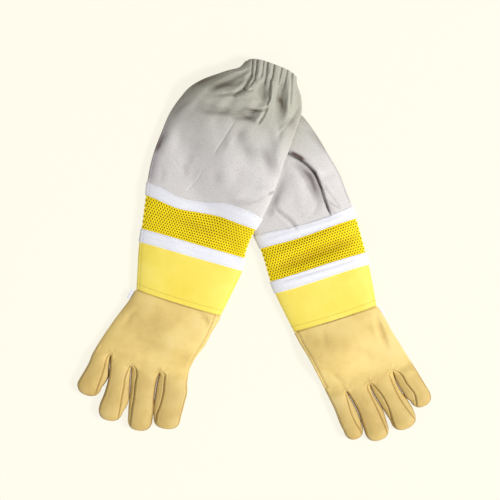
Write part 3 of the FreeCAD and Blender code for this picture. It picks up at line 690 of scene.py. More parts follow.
def cloth_relief(lay, x, y):
    """Folds of the cotton, with a soft unevenness that fades out towards the tapes."""
    marks = arm_marks(lay)
    soft = smooth((y - marks["cotton"]) / 30.0)
    tape = smooth((y - marks["cotton"] + 14.0) / 12.0)
    vent = smooth((y - marks["lower"] + 8.0) / 10.0) * smooth((marks["cotton"] + 6.0 - y) / 10.0)
    return (tape * folds_relief(lay.folds, x, y) + vent * folds_relief(lay.vent_folds, x, y)
            + flutes(lay, x, y)
            + (0.25 + 0.75 * soft) * ripples(x, y, 52.0, lay.seed)
            + (0.12 + 0.25 * soft) * ripples(x, y, 21.0, lay.seed + 1))


RASTER_STEP = 2.0
_raised = {}


def raised():
    """Height over a raster at which the upper glove lies: the lower sleeve's top, carried out
    level for 5 mm, then down a slope of 0.46 as far as 54 mm away, and softened."""
    if _raised:
        return _raised
    xs = np.arange(-236.0, 237.0, RASTER_STEP)
    ys = np.arange(-40.0, 281.0, RASTER_STEP)
    gx, gy = np.meshgrid(xs, ys)
    x, y = LEFT.from_frame(gx, gy)
    end = arm_marks(LEFT)["end"]
    middle, half, height = arm_edges(LEFT, y)
    across = (x - middle) / half
    inside = (np.abs(across) <= 1.0) & (y >= 0.0) & (y <= end)
    level = height * (BELLY + (1 - BELLY) * crown(np.clip(across, -1, 1)))
    level += np.clip(cloth_relief(LEFT, x, y), -2.0, 3.0)
    top = np.where(inside, level + 0.8, 0.0)
    lifted = top.copy()
    reach, level_reach, slope = 54.0, 5.0, 0.46
    steps = int(reach / RASTER_STEP)
    for i in range(-steps, steps + 1):
        for j in range(-steps, steps + 1):
            away = RASTER_STEP * math.hypot(i, j)
            if away <= reach:
                moved = np.roll(np.roll(top, i, 0), j, 1)
                lifted = np.maximum(lifted, moved - slope * max(away - level_reach, 0.0))
    for _ in range(10):
        for axis in (0, 1):
            lifted = (np.roll(lifted, 1, axis) + 2 * lifted + np.roll(lifted, -1, axis)) / 4
    lifted = np.maximum(lifted, top)
    _raised.update(xs=xs, ys=ys, lift=lifted)
    return _raised


def drape(lay, x, y):
    """Lift of the right-hand glove at own x, y by the sleeve under it, read between the
    raster's points."""
    if lay is LEFT:
        return np.zeros(np.broadcast(x, y).shape)
    table = raised()
    placed = lay.to_frame(x, y, 0.0)
    fx = np.clip((placed[..., 0] - table["xs"][0]) / RASTER_STEP, 0, len(table["xs"]) - 1.001)
    fy = np.clip((placed[..., 1] - table["ys"][0]) / RASTER_STEP, 0, len(table["ys"]) - 1.001)
    i, j = fx.astype(int), fy.astype(int)
    u, v = fx - i, fy - j
    lift = table["lift"]
    return ((lift[j, i] * (1 - u) + lift[j, i + 1] * u) * (1 - v)
            + (lift[j + 1, i] * (1 - u) + lift[j + 1, i + 1] * u) * v)


def even_turn(share):
    """The turn at an even share of the way round: across runs evenly from side to side."""
    share = share % 1.0
    over = np.arccos(np.clip(1.0 - 4.0 * np.minimum(share, 1.0 - share), -1.0, 1.0))
    return np.where(share <= 0.5, over, 2 * math.pi - over) / (2 * math.pi)


def round_places(top, under):
    """Places round an arm from the thumb side over the top and back: 0 to 1, dense on top."""
    over = 0.5 * np.arange(top) / top
    back = 0.5 + 0.5 * np.arange(under) / under
    share = np.concatenate([over, back])
    return 0.4 * share + 0.6 * even_turn(share)


def side_seam(lay, x, y):
    """The run-and-fell seam 4 mm inside the little-finger edge: a shallow groove, and outside it
    the low rise of the folded cloth."""
    edge = through(*zip(*lay.little_side), y)
    return (-0.35 * np.exp(-((x - edge - 4.2) / 0.7) ** 2)
            + 0.2 * np.exp(-((x - edge - 2.4) / 1.4) ** 2))


def arm_skin(lay, turn, along, inset=0.0):
    """Points of an arm's skin at turn (0 to 1 round it) and along (up it).

    With angle a = 2 pi turn: across = cos a, x = middle + across (half - inset), and the height
    over the belly is (1 - |across|^2.4)^0.5 on top and drops to the floor within a tenth of the
    width below. The bow shifts y, the folds raise z on top, and the drape lifts all of it.
    """
    turn, along = np.broadcast_arrays(turn, along)
    angle = 2 * math.pi * turn
    across = np.cos(angle)
    middle, half, height = arm_edges(lay, along)
    top = np.sin(angle) >= 0.0
    over = BELLY + (1 - BELLY) * crown(across)
    below = BELLY * np.clip((np.abs(across) - 0.9) / 0.1, 0.0, 1.0) ** 1.6
    level = np.where(top, over, below)
    x = middle + across * (half - inset)
    y = along + bow(lay, across, along)
    z = FLOOR_GAP + inset + level * (height - 2 * inset)
    weight = np.where(top, smooth(np.sin(angle) / 0.35), 0.0)
    z = z + weight * cloth_relief(lay, x, y)
    z = z + np.where(top, smooth(np.sin(angle) / 0.15), 0.0) * side_seam(lay, x, along)
    z = z + drape(lay, middle + across * half, along)
    return np.stack([x, y, z], axis=-1)


def way_round(lay, along):
    """Length of cloth once round the arm at a distance up it."""
    return AROUND * float(arm_edges(lay, np.array(along))[1])


def round_maps(lay, turn, along):
    """A flat map of the arm's cloth: millimetres round it and up it."""
    turn, along = np.broadcast_arrays(turn, along)
    share = (1.0 - np.cos(2 * math.pi * turn)) / 4.0
    share = np.where(turn > 0.5, 1.0 - share, share)
    return np.stack([share * way_round(lay, arm_marks(lay)["upper"]), along], axis=-1)


def hollow(lay, grid):
    """Painted shade in the cloth's colour at each point of a skin, 0 to 1: more the lower it lies
    in a fold, the painted bands along the folds, and painted shade along the little-finger side
    of the sleeve."""
    x, y = grid[..., 0], grid[..., 1]
    relief = cloth_relief(lay, x, y)
    edge = x - through(*zip(*lay.little_side), y)
    # painted shade along the little-finger edge of the sleeve
    side = (0.62 * (1.0 - smooth(edge / lay.side_shade))
            * smooth((y - arm_marks(lay)["cotton"]) / 12.0))
    # painted shade in the low places of the folds, with the painted bands along them
    return np.clip(np.clip((-relief - 0.3) / 5.5, 0.0, 0.35) + folds_shade(lay.folds, x, y) + side,
                   0.0, 1.0)


def band(name, lay, start, end, rows, columns, inset, wall):
    """A closed ring of cloth round the arm from start to end."""
    turn = round_places(*columns)[None, :]
    along = np.linspace(start, end, rows)[:, None]
    grid = arm_skin(lay, turn, along, inset)
    maps = round_maps(lay, turn, along)
    piece = grid_piece(name, lay, grid, ring=True, maps=maps, marks=hollow(lay, grid), flip=True,
                       length=way_round(lay, arm_marks(lay)["upper"]))
    return thicken(piece, wall)


def seam_line(lay, along, inset):
    """A line round the arm at a distance up it, and its outward directions."""
    turn = np.linspace(0.0, 1.0, 420)
    points = arm_skin(lay, turn, np.full(turn.shape, float(along)), inset)
    ups = np.zeros_like(points)
    ups[:, 0] = 0.35 * np.cos(2 * math.pi * turn)
    ups[:, 2] = np.where(np.sin(2 * math.pi * turn) >= 0, 1.0, -1.0)
    return points, ups


# ---------------------------------------------------------------- the hand of a glove

def palm_edges(lay, y):
    """x of the palm's two edges at y; they draw in where the hand goes into the cuff."""
    drawn = 2.2 * smooth((y + 2.5) / 3.5)
    little = through(*zip(*lay.palm_little[::-1]), y) + drawn
    thumb = through(*zip(*lay.palm_thumb[::-1]), y) - drawn
    return little, thumb


def thumb_rise(x, y):
    """How far the folded thumb under the palm lifts it: a plateau with smooth sides."""
    ramp, start_y, reach = 11.2, -24.0, 45.3
    tip_x = THUMB_X - THUMB_LENGTH * math.sin(THUMB_LEAN)
    side = smooth((x - (tip_x - THUMB_HALF - 2 * ramp)) / (1.6 * ramp))
    near_wrist = smooth((start_y + THUMB_HALF + THUMB_RISE - y) / 9.0)
    near_fingers = smooth((y - (start_y - reach - ramp)) / (1.4 * ramp))
    return THUMB_RISE * side * near_wrist * near_fingers


def back_rise(x, y):
    """How far the back of the hand stands higher over the thumb: a low mound, as the leather
    spans the thumb without following it."""
    return (THUMB_RISE * smooth((x + 50.0) / 62.0) * smooth((1.0 - y) / 44.0)
            * smooth((y + 80.0) / 36.0))


def palm_height(y):
    """Height of the hand between the wrist and the fingers, set in a little under the cuff."""
    share = smooth(-y / KNUCKLES)
    height = HAND_HEIGHT + (FINGER_HEIGHT - HAND_HEIGHT) * share
    return height - 1.9 * smooth((y + 2.5) / 3.5)


def palm_top(lay, x, y):
    """Upper side of the hand: a low crown across it, the mound and the soft creases."""
    little, thumb = palm_edges(lay, y)
    across = np.clip((x - (little + thumb) / 2) / ((thumb - little) / 2), -1.0, 1.0)
    height = palm_height(y)
    z = height * (BELLY + (1 - BELLY) * crown(across)) + back_rise(x, y)
    edge = smooth((1.0 - np.abs(across)) / 0.2)
    relief = folds_relief(lay.creases, x, y) + 0.35 * ripples(x, y, 38.0, lay.seed + 2)
    return z + edge * relief * smooth(-(y + 1.0) / 9.0)


def palm_under(lay, x, y):
    """Underside of the hand: flat, rising round its edges to the belly, over the thumb."""
    little, thumb = palm_edges(lay, y)
    across = np.clip((x - (little + thumb) / 2) / ((thumb - little) / 2), -1.0, 1.0)
    lip = np.clip((np.abs(across) - 0.9) / 0.1, 0.0, 1.0) ** 1.6
    rise = thumb_rise(x, y)
    tucked = 2.6 * smooth((y + 5.0) / 6.0)
    return palm_height(y) * BELLY * lip + rise + (back_rise(x, y) - rise) * lip + 0.15 + tucked


def spread(count):
    """Shares from 0 to 1, closer together at both ends: (1 - cos) / 2."""
    return 0.5 - 0.5 * np.cos(math.pi * np.arange(count) / (count - 1))


def leather_painted_shade(lay, grid):
    """Painted shade of the leather, 0 to 1: in its creases, and a painted shadow close under
    the cuff's edge.
    """
    x, y = grid[..., 0], grid[..., 1]
    middle, half, _ = arm_edges(lay, np.array(0.0))
    cuff = bow(lay, np.clip((x - middle) / half, -1.0, 1.0), 0.0 * x)
    # painted shadow of the cuff's edge on the hand
    under = 0.5 * smooth((y - cuff + 1.5) / 1.3)
    return np.clip(-folds_relief(lay.creases, x, y) / 7.0, 0.0, 0.3) + under


def seam_dip(away):
    """The hollow where leather rolls down into the thumb-side seam, away millimetres off."""
    return 0.9 * np.exp(-(away / 1.4) ** 2)


def make_hand_back(lay):
    """Points of the back of the hand: rows down from under the cuff, columns from the
    little-finger edge to the thumb-side seam. The leather rolls down into that seam."""
    y = np.linspace(6.0, -JOIN, 96)[:, None]
    little, _ = palm_edges(lay, y)
    seam = through(*zip(*lay.thumb_seam[::-1]), y)
    share = spread(150)[None, :]
    x = little + (seam - little) * share
    z = palm_top(lay, x, y + 0 * x) - seam_dip(x - seam)
    return np.stack([x, y + 0 * x, z], axis=-1)


def make_hand_palm(lay):
    """Points of the palm: rows down from under the cuff, columns from the little-finger edge
    under the hand, round the thumb-side edge and up to the seam on the back."""
    y = np.linspace(6.0, -JOIN, 96)[:, None]
    little, thumb = palm_edges(lay, y)
    seam = through(*zip(*lay.thumb_seam[::-1]), y)
    under = spread(120)[None, :]
    x_under = little + (thumb - little) * under
    z_under = palm_under(lay, x_under, y + 0 * x_under)
    over = np.linspace(0.0, 1.0, 22)[None, 1:]
    x_over = thumb + (seam - thumb) * (1 - (1 - over) ** 1.5)
    z_over = palm_top(lay, x_over, y + 0 * x_over) - seam_dip(x_over - seam)
    x = np.concatenate([x_under + 0 * y, x_over], axis=1)
    z = np.concatenate([z_under, z_over], axis=1)
    return np.stack([x, y + 0 * x, z], axis=-1)


# ---------------------------------------------------------------- the fingers

def finger_frame(lay, finger):
    """Root, direction to the tip and direction across towards the thumb, in own x, y."""
    x, y, lean = lay.root(finger)
    return (np.array([x, y]), np.array([math.sin(lean), -math.cos(lean)]),
            np.array([math.cos(lean), math.sin(lean)]))


def finger_rows():
    """Rows of a finger: 0 to 1 from the join to the tip's start, then 1 to 2 round the tip."""
    return np.concatenate([np.linspace(0.0, 1.0, 100), 1.0 + np.linspace(0.0, 1.0, 20)[1:]])


def finger_edges(lay, finger, rows):
    """The two edges of a finger, little-finger side first, as (rows, 2) points.

    Down to the crotch each edge runs along the line between two fingers; from there it follows
    the line where the two touch and then the finger's own outline, and closes in a round tip:
    half width = w cos(a)^0.85, distance = length - tip + tip sin(a).
    """
    k = FINGERS[::-1].index(finger)
    root, down, across = finger_frame(lay, finger)
    length = lay.lengths[finger]
    straight = length - TIP_LENGTH
    start = JOIN - KNUCKLES
    distance = np.where(rows <= 1.0, start + (straight - start) * rows,
                        straight + TIP_LENGTH * np.sin((rows - 1.0) * math.pi / 2))
    little, thumb = palm_edges(lay, np.array(-JOIN))
    splits = (float(little),) + lay.splits + (float(thumb),)
    past_join = -94.0
    lines = []
    for side in (0, 1):
        line = k + side
        if 0 < line < 4:
            points = lay.contacts[line - 1]
        else:
            outer = lay.palm_little if side == 0 else lay.palm_thumb
            points = ((float(through(*zip(*outer[::-1]), np.array(past_join))), past_join),)
        points = np.array(points + lay.outlines[finger][side]) - root
        gone, offset = points @ down, points @ across
        own = (down * distance[:, None]
               + across * through(gone, offset, np.minimum(distance, straight))[:, None])
        begin = np.array([splits[line], -JOIN]) - root
        t = ((distance - start) / (gone[0] - start))[:, None]
        lines.append(np.where(t <= 1.0, begin + (points[0] - begin) * np.clip(t, 0, 1), own))
    middle, half = (lines[0] + lines[1]) / 2, (lines[1] - lines[0]) / 2
    wide = np.linalg.norm(half, axis=1)[:, None]
    half = half * (1.0 - TOUCH_GAP * smooth((distance - 4.0) / 12.0)[:, None] / wide)
    half = half * np.where(rows <= 1.0, 1.0,
                           np.cos(np.clip(rows - 1.0, 0, 1) * math.pi / 2) ** 0.85)[:, None]
    return root + middle - half, root + middle + half, distance, length


def crotch_distance(lay, finger, side):
    """How far down a finger one of its two crotches lies; None on a hand's free side."""
    k = FINGERS[::-1].index(finger) + side
    if not 0 < k < 4:
        return None
    root, down, _ = finger_frame(lay, finger)
    return float((np.array(lay.contacts[k - 1][0]) - root) @ down)


def leaf_share(lay, finger, side, edges, distance):
    """Share of the half width where a finger's seam runs: it starts at the edge of the crotch,
    bows in round the arch of the fourchette and runs back out to the edge at the tip."""
    table = lay.leaves[finger][side]
    if table is None:
        return np.full(distance.shape, 0.93)
    root, _, across = finger_frame(lay, finger)
    middle = ((edges[0] + edges[1]) / 2 - root) @ across
    half = np.maximum(((edges[1] - edges[0]) / 2) @ across, 0.5)
    offset = through(*zip(*table), distance)
    inner = np.clip((offset - middle) * (2 * side - 1) / half, 0.05, 0.95)
    crotch = crotch_distance(lay, finger, side)
    t = np.clip((distance - crotch + 1.0) / 4.6, 0.0, 1.0)
    return 1.0 + (inner - 1.0) * np.sqrt(1.0 - (1.0 - t) ** 2)


def finger_top(across, distance, length, seams):
    """Height of a finger's upper side: crowned between its two seams, then falling to the
    belly."""
    past = np.clip(distance - (length - TIP_LENGTH), 0, None) / TIP_LENGTH
    round_tip = np.sqrt(np.clip(1.0 - past ** 2, 0.0, 1.0))
    height = FINGER_HEIGHT * (0.35 + 0.65 * round_tip ** 0.7) * (1 + 0.03 * np.sin(distance / 9.0))
    seam = np.where(across > 0, seams[1], seams[0])
    share = np.abs(across)
    inner = np.clip(share / seam, 0.0, 1.0)
    at_seam = 0.60 + 0.32 * (1.0 - seam)
    crowned = at_seam + (1.0 - at_seam) * np.sqrt(np.clip(1.0 - inner ** 2.2, 0.0, 1.0))
    outer = np.clip((share - seam) / np.maximum(1.0 - seam, 0.02), 0.0, 1.0)
    falling = BELLY + (at_seam - BELLY) * np.sqrt(np.clip(1.0 - outer ** 1.8, 0.0, 1.0))
    return height * np.where(share <= seam, crowned, falling)


def make_finger(lay, finger):
    """Grids of a finger's back, palm and two fourchettes, which meet at its seams, and the
    painted shade of each: in the seams' grooves, and where the finger touches the next one.
    The leather also grows darker towards the fingertips."""
    rows = finger_rows()
    little, thumb, distance, length = finger_edges(lay, finger, rows)
    seams = [leaf_share(lay, finger, side, (little, thumb), distance)[:, None]
             for side in (0, 1)]
    middle, half = (little + thumb) / 2, (thumb - little) / 2
    crotches = [crotch_distance(lay, finger, side) for side in (0, 1)]
    starts = [-8.0 if crotch is None else crotch - 2.0 for crotch in crotches]
    spans = [15.0 if crotch is None else 6.5 for crotch in crotches]
    seam_lines = [(middle + half * (2 * side - 1) * seams[side])[distance >= start + 1.0][::2]
                  for side, start in enumerate(starts)]
    closed = smooth((distance - (length - 1.2)) / 1.2)[:, None]
    d = distance[:, None]

    def skin(across, top):
        flat = middle[:, None, :] + half[:, None, :] * across[..., None]
        x, y = flat[..., 0], flat[..., 1]
        if top:
            t = np.clip((across + 1.0) / 2.0, 0.0, 1.0)
            mix = smooth((d - starts[0] - (starts[1] - starts[0]) * t)
                         / (spans[0] + (spans[1] - spans[0]) * t))
            own = finger_top(across, d + 0 * across, length, seams)
            own = own + 0.25 * ripples(x, y, 17.0, lay.seed + 5) + 0.7 * folds_relief(
                lay.creases, x, y)
            z = palm_top(lay, x, y) * (1 - mix) + own * mix
            near = np.minimum(*(line_distance(x, y, line)[0] for line in seam_lines))
            fade = np.cos(closed * math.pi / 2) * np.sqrt(np.clip((length - d) / TIP_LENGTH, 0, 1))
            z = z + fade * (0.42 * np.exp(-((near - 2.1) / 1.2) ** 2)
                            - 0.42 * np.exp(-(near / 0.6) ** 2))
            # painted shade in the seam's groove
            shade = 0.34 * np.exp(-(near / 0.6) ** 2)
        else:
            mix = smooth((d - (JOIN - KNUCKLES)) / 15.0)
            lip = np.clip((np.abs(across) - 0.72) / 0.28, 0.0, 1.0) ** 1.8
            tip = np.clip((d - (length - 9.0)) / 9.0, 0.0, 1.0) ** 1.7
            own = FINGER_HEIGHT * BELLY * np.maximum(lip, 0.8 * tip) + 0.15
            z = palm_under(lay, x, y) * (1 - mix) + own * mix
            shade = 0.0 * x
        # painted shade where this finger touches the next one
        for side, crotch in enumerate(crotches):
            if crotch is not None:
                gone = d - crotch
                past = smooth((gone + 0.5) / 2.5) * (1.0 - 0.6 * smooth((gone - 34.0) / 10.0))
                shade = shade + 0.85 * past * smooth(((2 * side - 1) * across - 0.9) / 0.09)
        # darker towards the fingertips, with the leather's painted shade
        shade = shade + 0.27 * smooth((-y - JOIN + 6.0) / 40.0) + leather_painted_shade(lay, flat)
        belly = FINGER_HEIGHT * (0.35 + 0.65 * 0.3) * BELLY + 1.2
        return np.stack([x, y, z + (belly - z) * closed], axis=-1), np.clip(shade, 0.0, 1.0)

    unit = np.linspace(0.0, 1.0, 46)[None, :]
    left, right = -seams[0], seams[1]
    grids = {"back": skin(left + (right - left) * unit, True)}
    leaf = np.linspace(0.0, 1.0, 18)[None, :]
    low = spread(12)[None, :]
    for side, sign in ((0, -1.0), (1, 1.0)):
        upper = sign * (seams[side] + (1.0 - seams[side]) * (1 - (1 - leaf) ** 1.6))
        lower = sign * (1.0 - 0.12 * low[:, 1:] + 0 * d)
        over, under = skin(upper + 0 * d, True), skin(lower, False)
        grids[f"leaf_{side}"] = tuple(np.concatenate(pair, axis=1) for pair in zip(over, under))
    wide = np.linspace(-0.88, 0.88, 34)[None, :] + 0 * d
    grids["palm"] = skin(wide, False)
    return grids


# ---------------------------------------------------------------- finishes

BUMP_DEPTH = 0.3 * MM      # of pores, threads and loops
NET_LOOP = 0.714           # millimetres, of the knitted mesh
THREAD_LOOP = 1.11         # millimetres, one twist of the sewing thread


def start_material(name):
    """A fresh node material, and its shader."""
    material = bpy.data.materials.new(name)
    material.use_nodes = True
    return material, material.node_tree.nodes["Principled BSDF"]


def node(owner, kind, settings=None, links=None, feeds=None):
    """Adds a node to a material or the world: settings are its own values or its inputs', links
    are the sockets that its inputs come from, and feeds are those that its outputs go to."""
    tree = owner.node_tree
    made = tree.nodes.new(kind)
    for key, value in (settings or {}).items():
        if isinstance(key, int) or key in made.inputs:
            socket = made.inputs[key]
            socket.default_value = (*value[:3], 1.0) if socket.type == "RGBA" else value
        else:
            setattr(made, key, value)
    for key, socket in (links or {}).items():
        tree.links.new(socket, made.inputs[key])
    for key, socket in (feeds or {}).items():
        tree.links.new(made.outputs[key], socket)
    return made


def per_metre(cell):
    """The scale of a pattern on Object coordinates whose cells are this many millimetres wide."""
    return 1.0 / (cell * MM)


def leather(name, base, light, dark, shade_colour, roughness):
    """Soft glove leather, tanned and buffed: a matt skin with fine pores, broad faint clouds
    where the dye took unevenly, small paler flecks, and a brown painted shade where the depth
    attribute is set. The real pores are finer and are drawn coarser so that they show."""
    clouds, flecks, pore_gap, grain_width = 31.25, 2.38, 0.8, 1.11
    material, shader = start_material(name)
    place = node(material, "ShaderNodeTexCoord").outputs["Object"]
    cloud = node(material, "ShaderNodeTexNoise",
                 {"Scale": per_metre(clouds), "Detail": 4.0, "Roughness": 0.5},
                 {"Vector": place}).outputs["Fac"]
    fleck = node(material, "ShaderNodeTexNoise", {"Scale": per_metre(flecks), "Detail": 3.0},
                 {"Vector": place}).outputs["Fac"]
    depth = node(material, "ShaderNodeAttribute", {"attribute_name": "depth"}).outputs["Fac"]
    low = node(material, "ShaderNodeMapRange", {"From Min": 0.25, "From Max": 0.52},
               {"Value": cloud}).outputs["Result"]
    high = node(material, "ShaderNodeMapRange", {"From Min": 0.5, "From Max": 0.78},
                {"Value": cloud}).outputs["Result"]
    spots = node(material, "ShaderNodeMapRange", {"From Min": 0.55, "From Max": 1.1},
                 {"Value": fleck}).outputs["Result"]
    tone = node(material, "ShaderNodeMix", {"data_type": "RGBA", 6: linear(dark), 7: base},
                {"Factor": low}).outputs[2]
    tone = node(material, "ShaderNodeMix", {"data_type": "RGBA", 7: linear(light)},
                {"Factor": high, 6: tone}).outputs[2]
    tone = node(material, "ShaderNodeMix", {"data_type": "RGBA", 7: linear(light)},
                {"Factor": spots, 6: tone}).outputs[2]
    # painted shade: the depth attribute mixes in the shade colour
    node(material, "ShaderNodeMix", {"data_type": "RGBA", 7: linear(shade_colour)},
         {"Factor": depth, 6: tone}, {2: shader.inputs["Base Color"]})
    pores = node(material, "ShaderNodeTexVoronoi", {"Scale": per_metre(pore_gap)},
                 {"Vector": place})
    grain = node(material, "ShaderNodeTexNoise", {"Scale": per_metre(grain_width), "Detail": 3.0},
                 {"Vector": place})
    both = node(material, "ShaderNodeMath", {"operation": "ADD"},
                {0: pores.outputs["Distance"], 1: grain.outputs["Fac"]})
    node(material, "ShaderNodeBump", {"Strength": 0.22, "Distance": BUMP_DEPTH},
         {"Height": both.outputs["Value"]}, {"Normal": shader.inputs["Normal"]})
    node(material, "ShaderNodeMapRange", {"To Min": roughness - 0.07, "To Max": roughness + 0.07},
         {"Value": cloud}, {"Result": shader.inputs["Roughness"]})
    shader.inputs["IOR"].default_value = 1.36
    shader.inputs["Sheen Weight"].default_value = 0.08
    shader.inputs["Sheen Roughness"].default_value = 0.5
    return material


def weave(name, base, light, dark, shade_colour, pitch, slant, strength, far=None):
    """Woven cloth: warp and weft are two crossed waves on the piece's own map, pitch
    millimetres apart, with a slant that makes a twill's ribs. The real threads are finer and
    are drawn coarser so that they show. far is the tone and the shade that the cloth turns to
    further up the arm, and the two distances up it, in millimetres, between which it does. The
    depth attribute is painted shade, and where it runs highest, a darker painted shadow."""
    clouds, nap_specks = 33.3, 1.43
    material, shader = start_material(name)
    flat = node(material, "ShaderNodeUVMap", {"uv_map": "cloth"}).outputs["UV"]
    place = node(material, "ShaderNodeTexCoord").outputs["Object"]
    parts = node(material, "ShaderNodeSeparateXYZ", None, {"Vector": flat})
    turns = 2 * math.pi / (pitch * MM)
    waves = []
    for first, second, lean in (("X", "Y", slant), ("Y", "X", -0.3 * slant)):
        turned = node(material, "ShaderNodeMath", {"operation": "MULTIPLY_ADD", 1: lean},
                      {0: parts.outputs[second], 2: parts.outputs[first]})
        scaled = node(material, "ShaderNodeMath", {"operation": "MULTIPLY", 1: turns},
                      {0: turned.outputs[0]})
        waves.append(node(material, "ShaderNodeMath", {"operation": "SINE"},
                          {0: scaled.outputs[0]}).outputs[0])
    threads = node(material, "ShaderNodeMath", {"operation": "ADD"},
                   {0: waves[0], 1: waves[1]}).outputs[0]
    cloud = node(material, "ShaderNodeTexNoise", {"Scale": per_metre(clouds), "Detail": 5.0},
                 {"Vector": place}).outputs["Fac"]
    speck = node(material, "ShaderNodeTexNoise", {"Scale": per_metre(nap_specks), "Detail": 2.0},
                 {"Vector": place}).outputs["Fac"]
    depth = node(material, "ShaderNodeAttribute", {"attribute_name": "depth"}).outputs["Fac"]
    patch = node(material, "ShaderNodeMapRange", {"From Min": 0.35, "From Max": 0.7},
                 {"Value": cloud}).outputs["Result"]
    nap = node(material, "ShaderNodeMapRange", {"From Min": 0.5, "From Max": 1.25},
               {"Value": speck}).outputs["Result"]
    gaps = node(material, "ShaderNodeMapRange", {"From Min": 1.9, "From Max": -7.0},
                {"Value": threads}).outputs["Result"]
    tone = node(material, "ShaderNodeMix", {"data_type": "RGBA", 6: base, 7: linear(light)},
                {"Factor": patch}).outputs[2]
    far_tone, far_shade, near_end, far_end = far or (light, dark, 0.0, 0.0)
    shade = node(material, "ShaderNodeMix",
                 {"data_type": "RGBA", 6: linear(dark), 7: linear(far_shade)})
    if far:
        hem = node(material, "ShaderNodeMapRange",
                   {"interpolation_type": "SMOOTHSTEP", "From Min": near_end * MM,
                    "From Max": far_end * MM},
                   {"Value": parts.outputs["Y"]}, {"Result": shade.inputs["Factor"]})
        tone = node(material, "ShaderNodeMix", {"data_type": "RGBA", 7: linear(far_tone)},
                    {"Factor": hem.outputs["Result"], 6: tone}).outputs[2]
    # nap and thread gaps are the cloth's own; the depth attribute is painted shade
    for amount in (nap, gaps, depth):
        tone = node(material, "ShaderNodeMix", {"data_type": "RGBA"},
                    {"Factor": amount, 6: tone, 7: shade.outputs[2]}).outputs[2]
    # painted shadow where the depth attribute runs highest
    deepest = node(material, "ShaderNodeMapRange", {"From Min": 0.6, "From Max": 1.0},
                   {"Value": depth}).outputs["Result"]
    node(material, "ShaderNodeMix", {"data_type": "RGBA", 7: linear(shade_colour)},
         {"Factor": deepest, 6: tone}, {2: shader.inputs["Base Color"]})
    node(material, "ShaderNodeBump", {"Strength": strength, "Distance": BUMP_DEPTH},
         {"Height": threads}, {"Normal": shader.inputs["Normal"]})
    shader.inputs["Roughness"].default_value = 0.85
    shader.inputs["IOR"].default_value = 1.46
    shader.inputs["Sheen Weight"].default_value = 0.2
    shader.inputs["Sheen Roughness"].default_value = 0.6
    return material


def yarn(name, light, dark, loop, roughness, shade_colour=None):
    """Knitted or twisted polyester: two close tones that turn with the yarn, a soft gloss and
    a fine unevenness, in loops of so many millimetres. A third colour, if given, is painted
    shade, mixed in where the depth attribute is set."""
    material, shader = start_material(name)
    place = node(material, "ShaderNodeTexCoord").outputs["Object"]
    loops = node(material, "ShaderNodeTexNoise", {"Scale": per_metre(loop), "Detail": 2.0},
                 {"Vector": place}).outputs["Fac"]
    turn = node(material, "ShaderNodeMapRange", {"From Min": 0.35, "From Max": 0.7},
                {"Value": loops}).outputs["Result"]
    tone = node(material, "ShaderNodeMix", {"data_type": "RGBA", 6: linear(dark), 7: light},
                {"Factor": turn}, {2: shader.inputs["Base Color"]}).outputs[2]
    # painted shade in the vent's hollows
    if shade_colour:
        depth = node(material, "ShaderNodeAttribute", {"attribute_name": "depth"}).outputs["Fac"]
        node(material, "ShaderNodeMix", {"data_type": "RGBA", 7: linear(shade_colour)},
             {"Factor": depth, 6: tone}, {2: shader.inputs["Base Color"]})
    node(material, "ShaderNodeBump", {"Strength": 0.4, "Distance": BUMP_DEPTH},
         {"Height": loops}, {"Normal": shader.inputs["Normal"]})
    shader.inputs["Roughness"].default_value = roughness
    shader.inputs["IOR"].default_value = 1.38
    return material


def finish(name):
    """One of the finishes of the pair, made when it is first asked for."""
    made = bpy.data.materials.get(name)
    if made:
        return made
    colours = bpy.context.scene.glove_colours
    makers = {
        "hand_leather_buffed": lambda: leather(name, tuple_of(colours.hand), "#ecd38e", "#d4b56c",
                                               "#7d5724", 0.55),
        "cuff_leather_dyed": lambda: leather(name, tuple_of(colours.cuff), "#f8e470", "#eed64f",
                                             "#a98b20", 0.5),
        # the cotton turns darker towards the hem
        "cotton_twill_woven": lambda: weave(name, tuple_of(colours.cotton), "#e9e5e2", "#857d80",
                                            "#50382a", 1.3, 0.5, 0.35,
                                            ("#c2c1b2", "#66624f", 175.0, 275.0)),
        "tape_twill_woven": lambda: weave(name, tuple_of(colours.tape), "#fafafe", "#c3c4d0",
                                          "#a0a1ae", 1.6, 0.3, 0.35),
        "vent_net_knitted": lambda: yarn(name, tuple_of(colours.mesh), "#f3d206", NET_LOOP, 0.6,
                                         "#b38c00"),
        # darker gold than the net: partly its own, partly painted shade in the net's holes
        "vent_core_knitted": lambda: yarn(name, linear("#a88602"), "#836700", NET_LOOP, 0.8),
        "seam_thread_dark": lambda: yarn(name, linear("#a98d55"), "#8a7040", THREAD_LOOP, 0.5),
        "seam_thread_light": lambda: yarn(name, linear("#dcdad2"), "#bdbbb2", THREAD_LOOP, 0.5),
        "seam_thread_yellow": lambda: yarn(name, linear("#bfa63e"), "#957f28", THREAD_LOOP, 0.5),
        "elastic_braided": lambda: weave(name, linear("#d9d7cf"), "#e8e6df", "#a9a79d", "#8a887e",
                                         1.6, 0.0, 0.5),
        "tag_satin_woven": lambda: weave(name, linear("#f0f0f2"), "#fbfbfd", "#c9c9d0", "#a9a9b2",
                                         0.8, 0.0, 0.3),
    }
    return makers[name]()


def tuple_of(colour):
    """Red, green and blue of a colour property."""
    return tuple(colour[:3])


# ---------------------------------------------------------------- properties

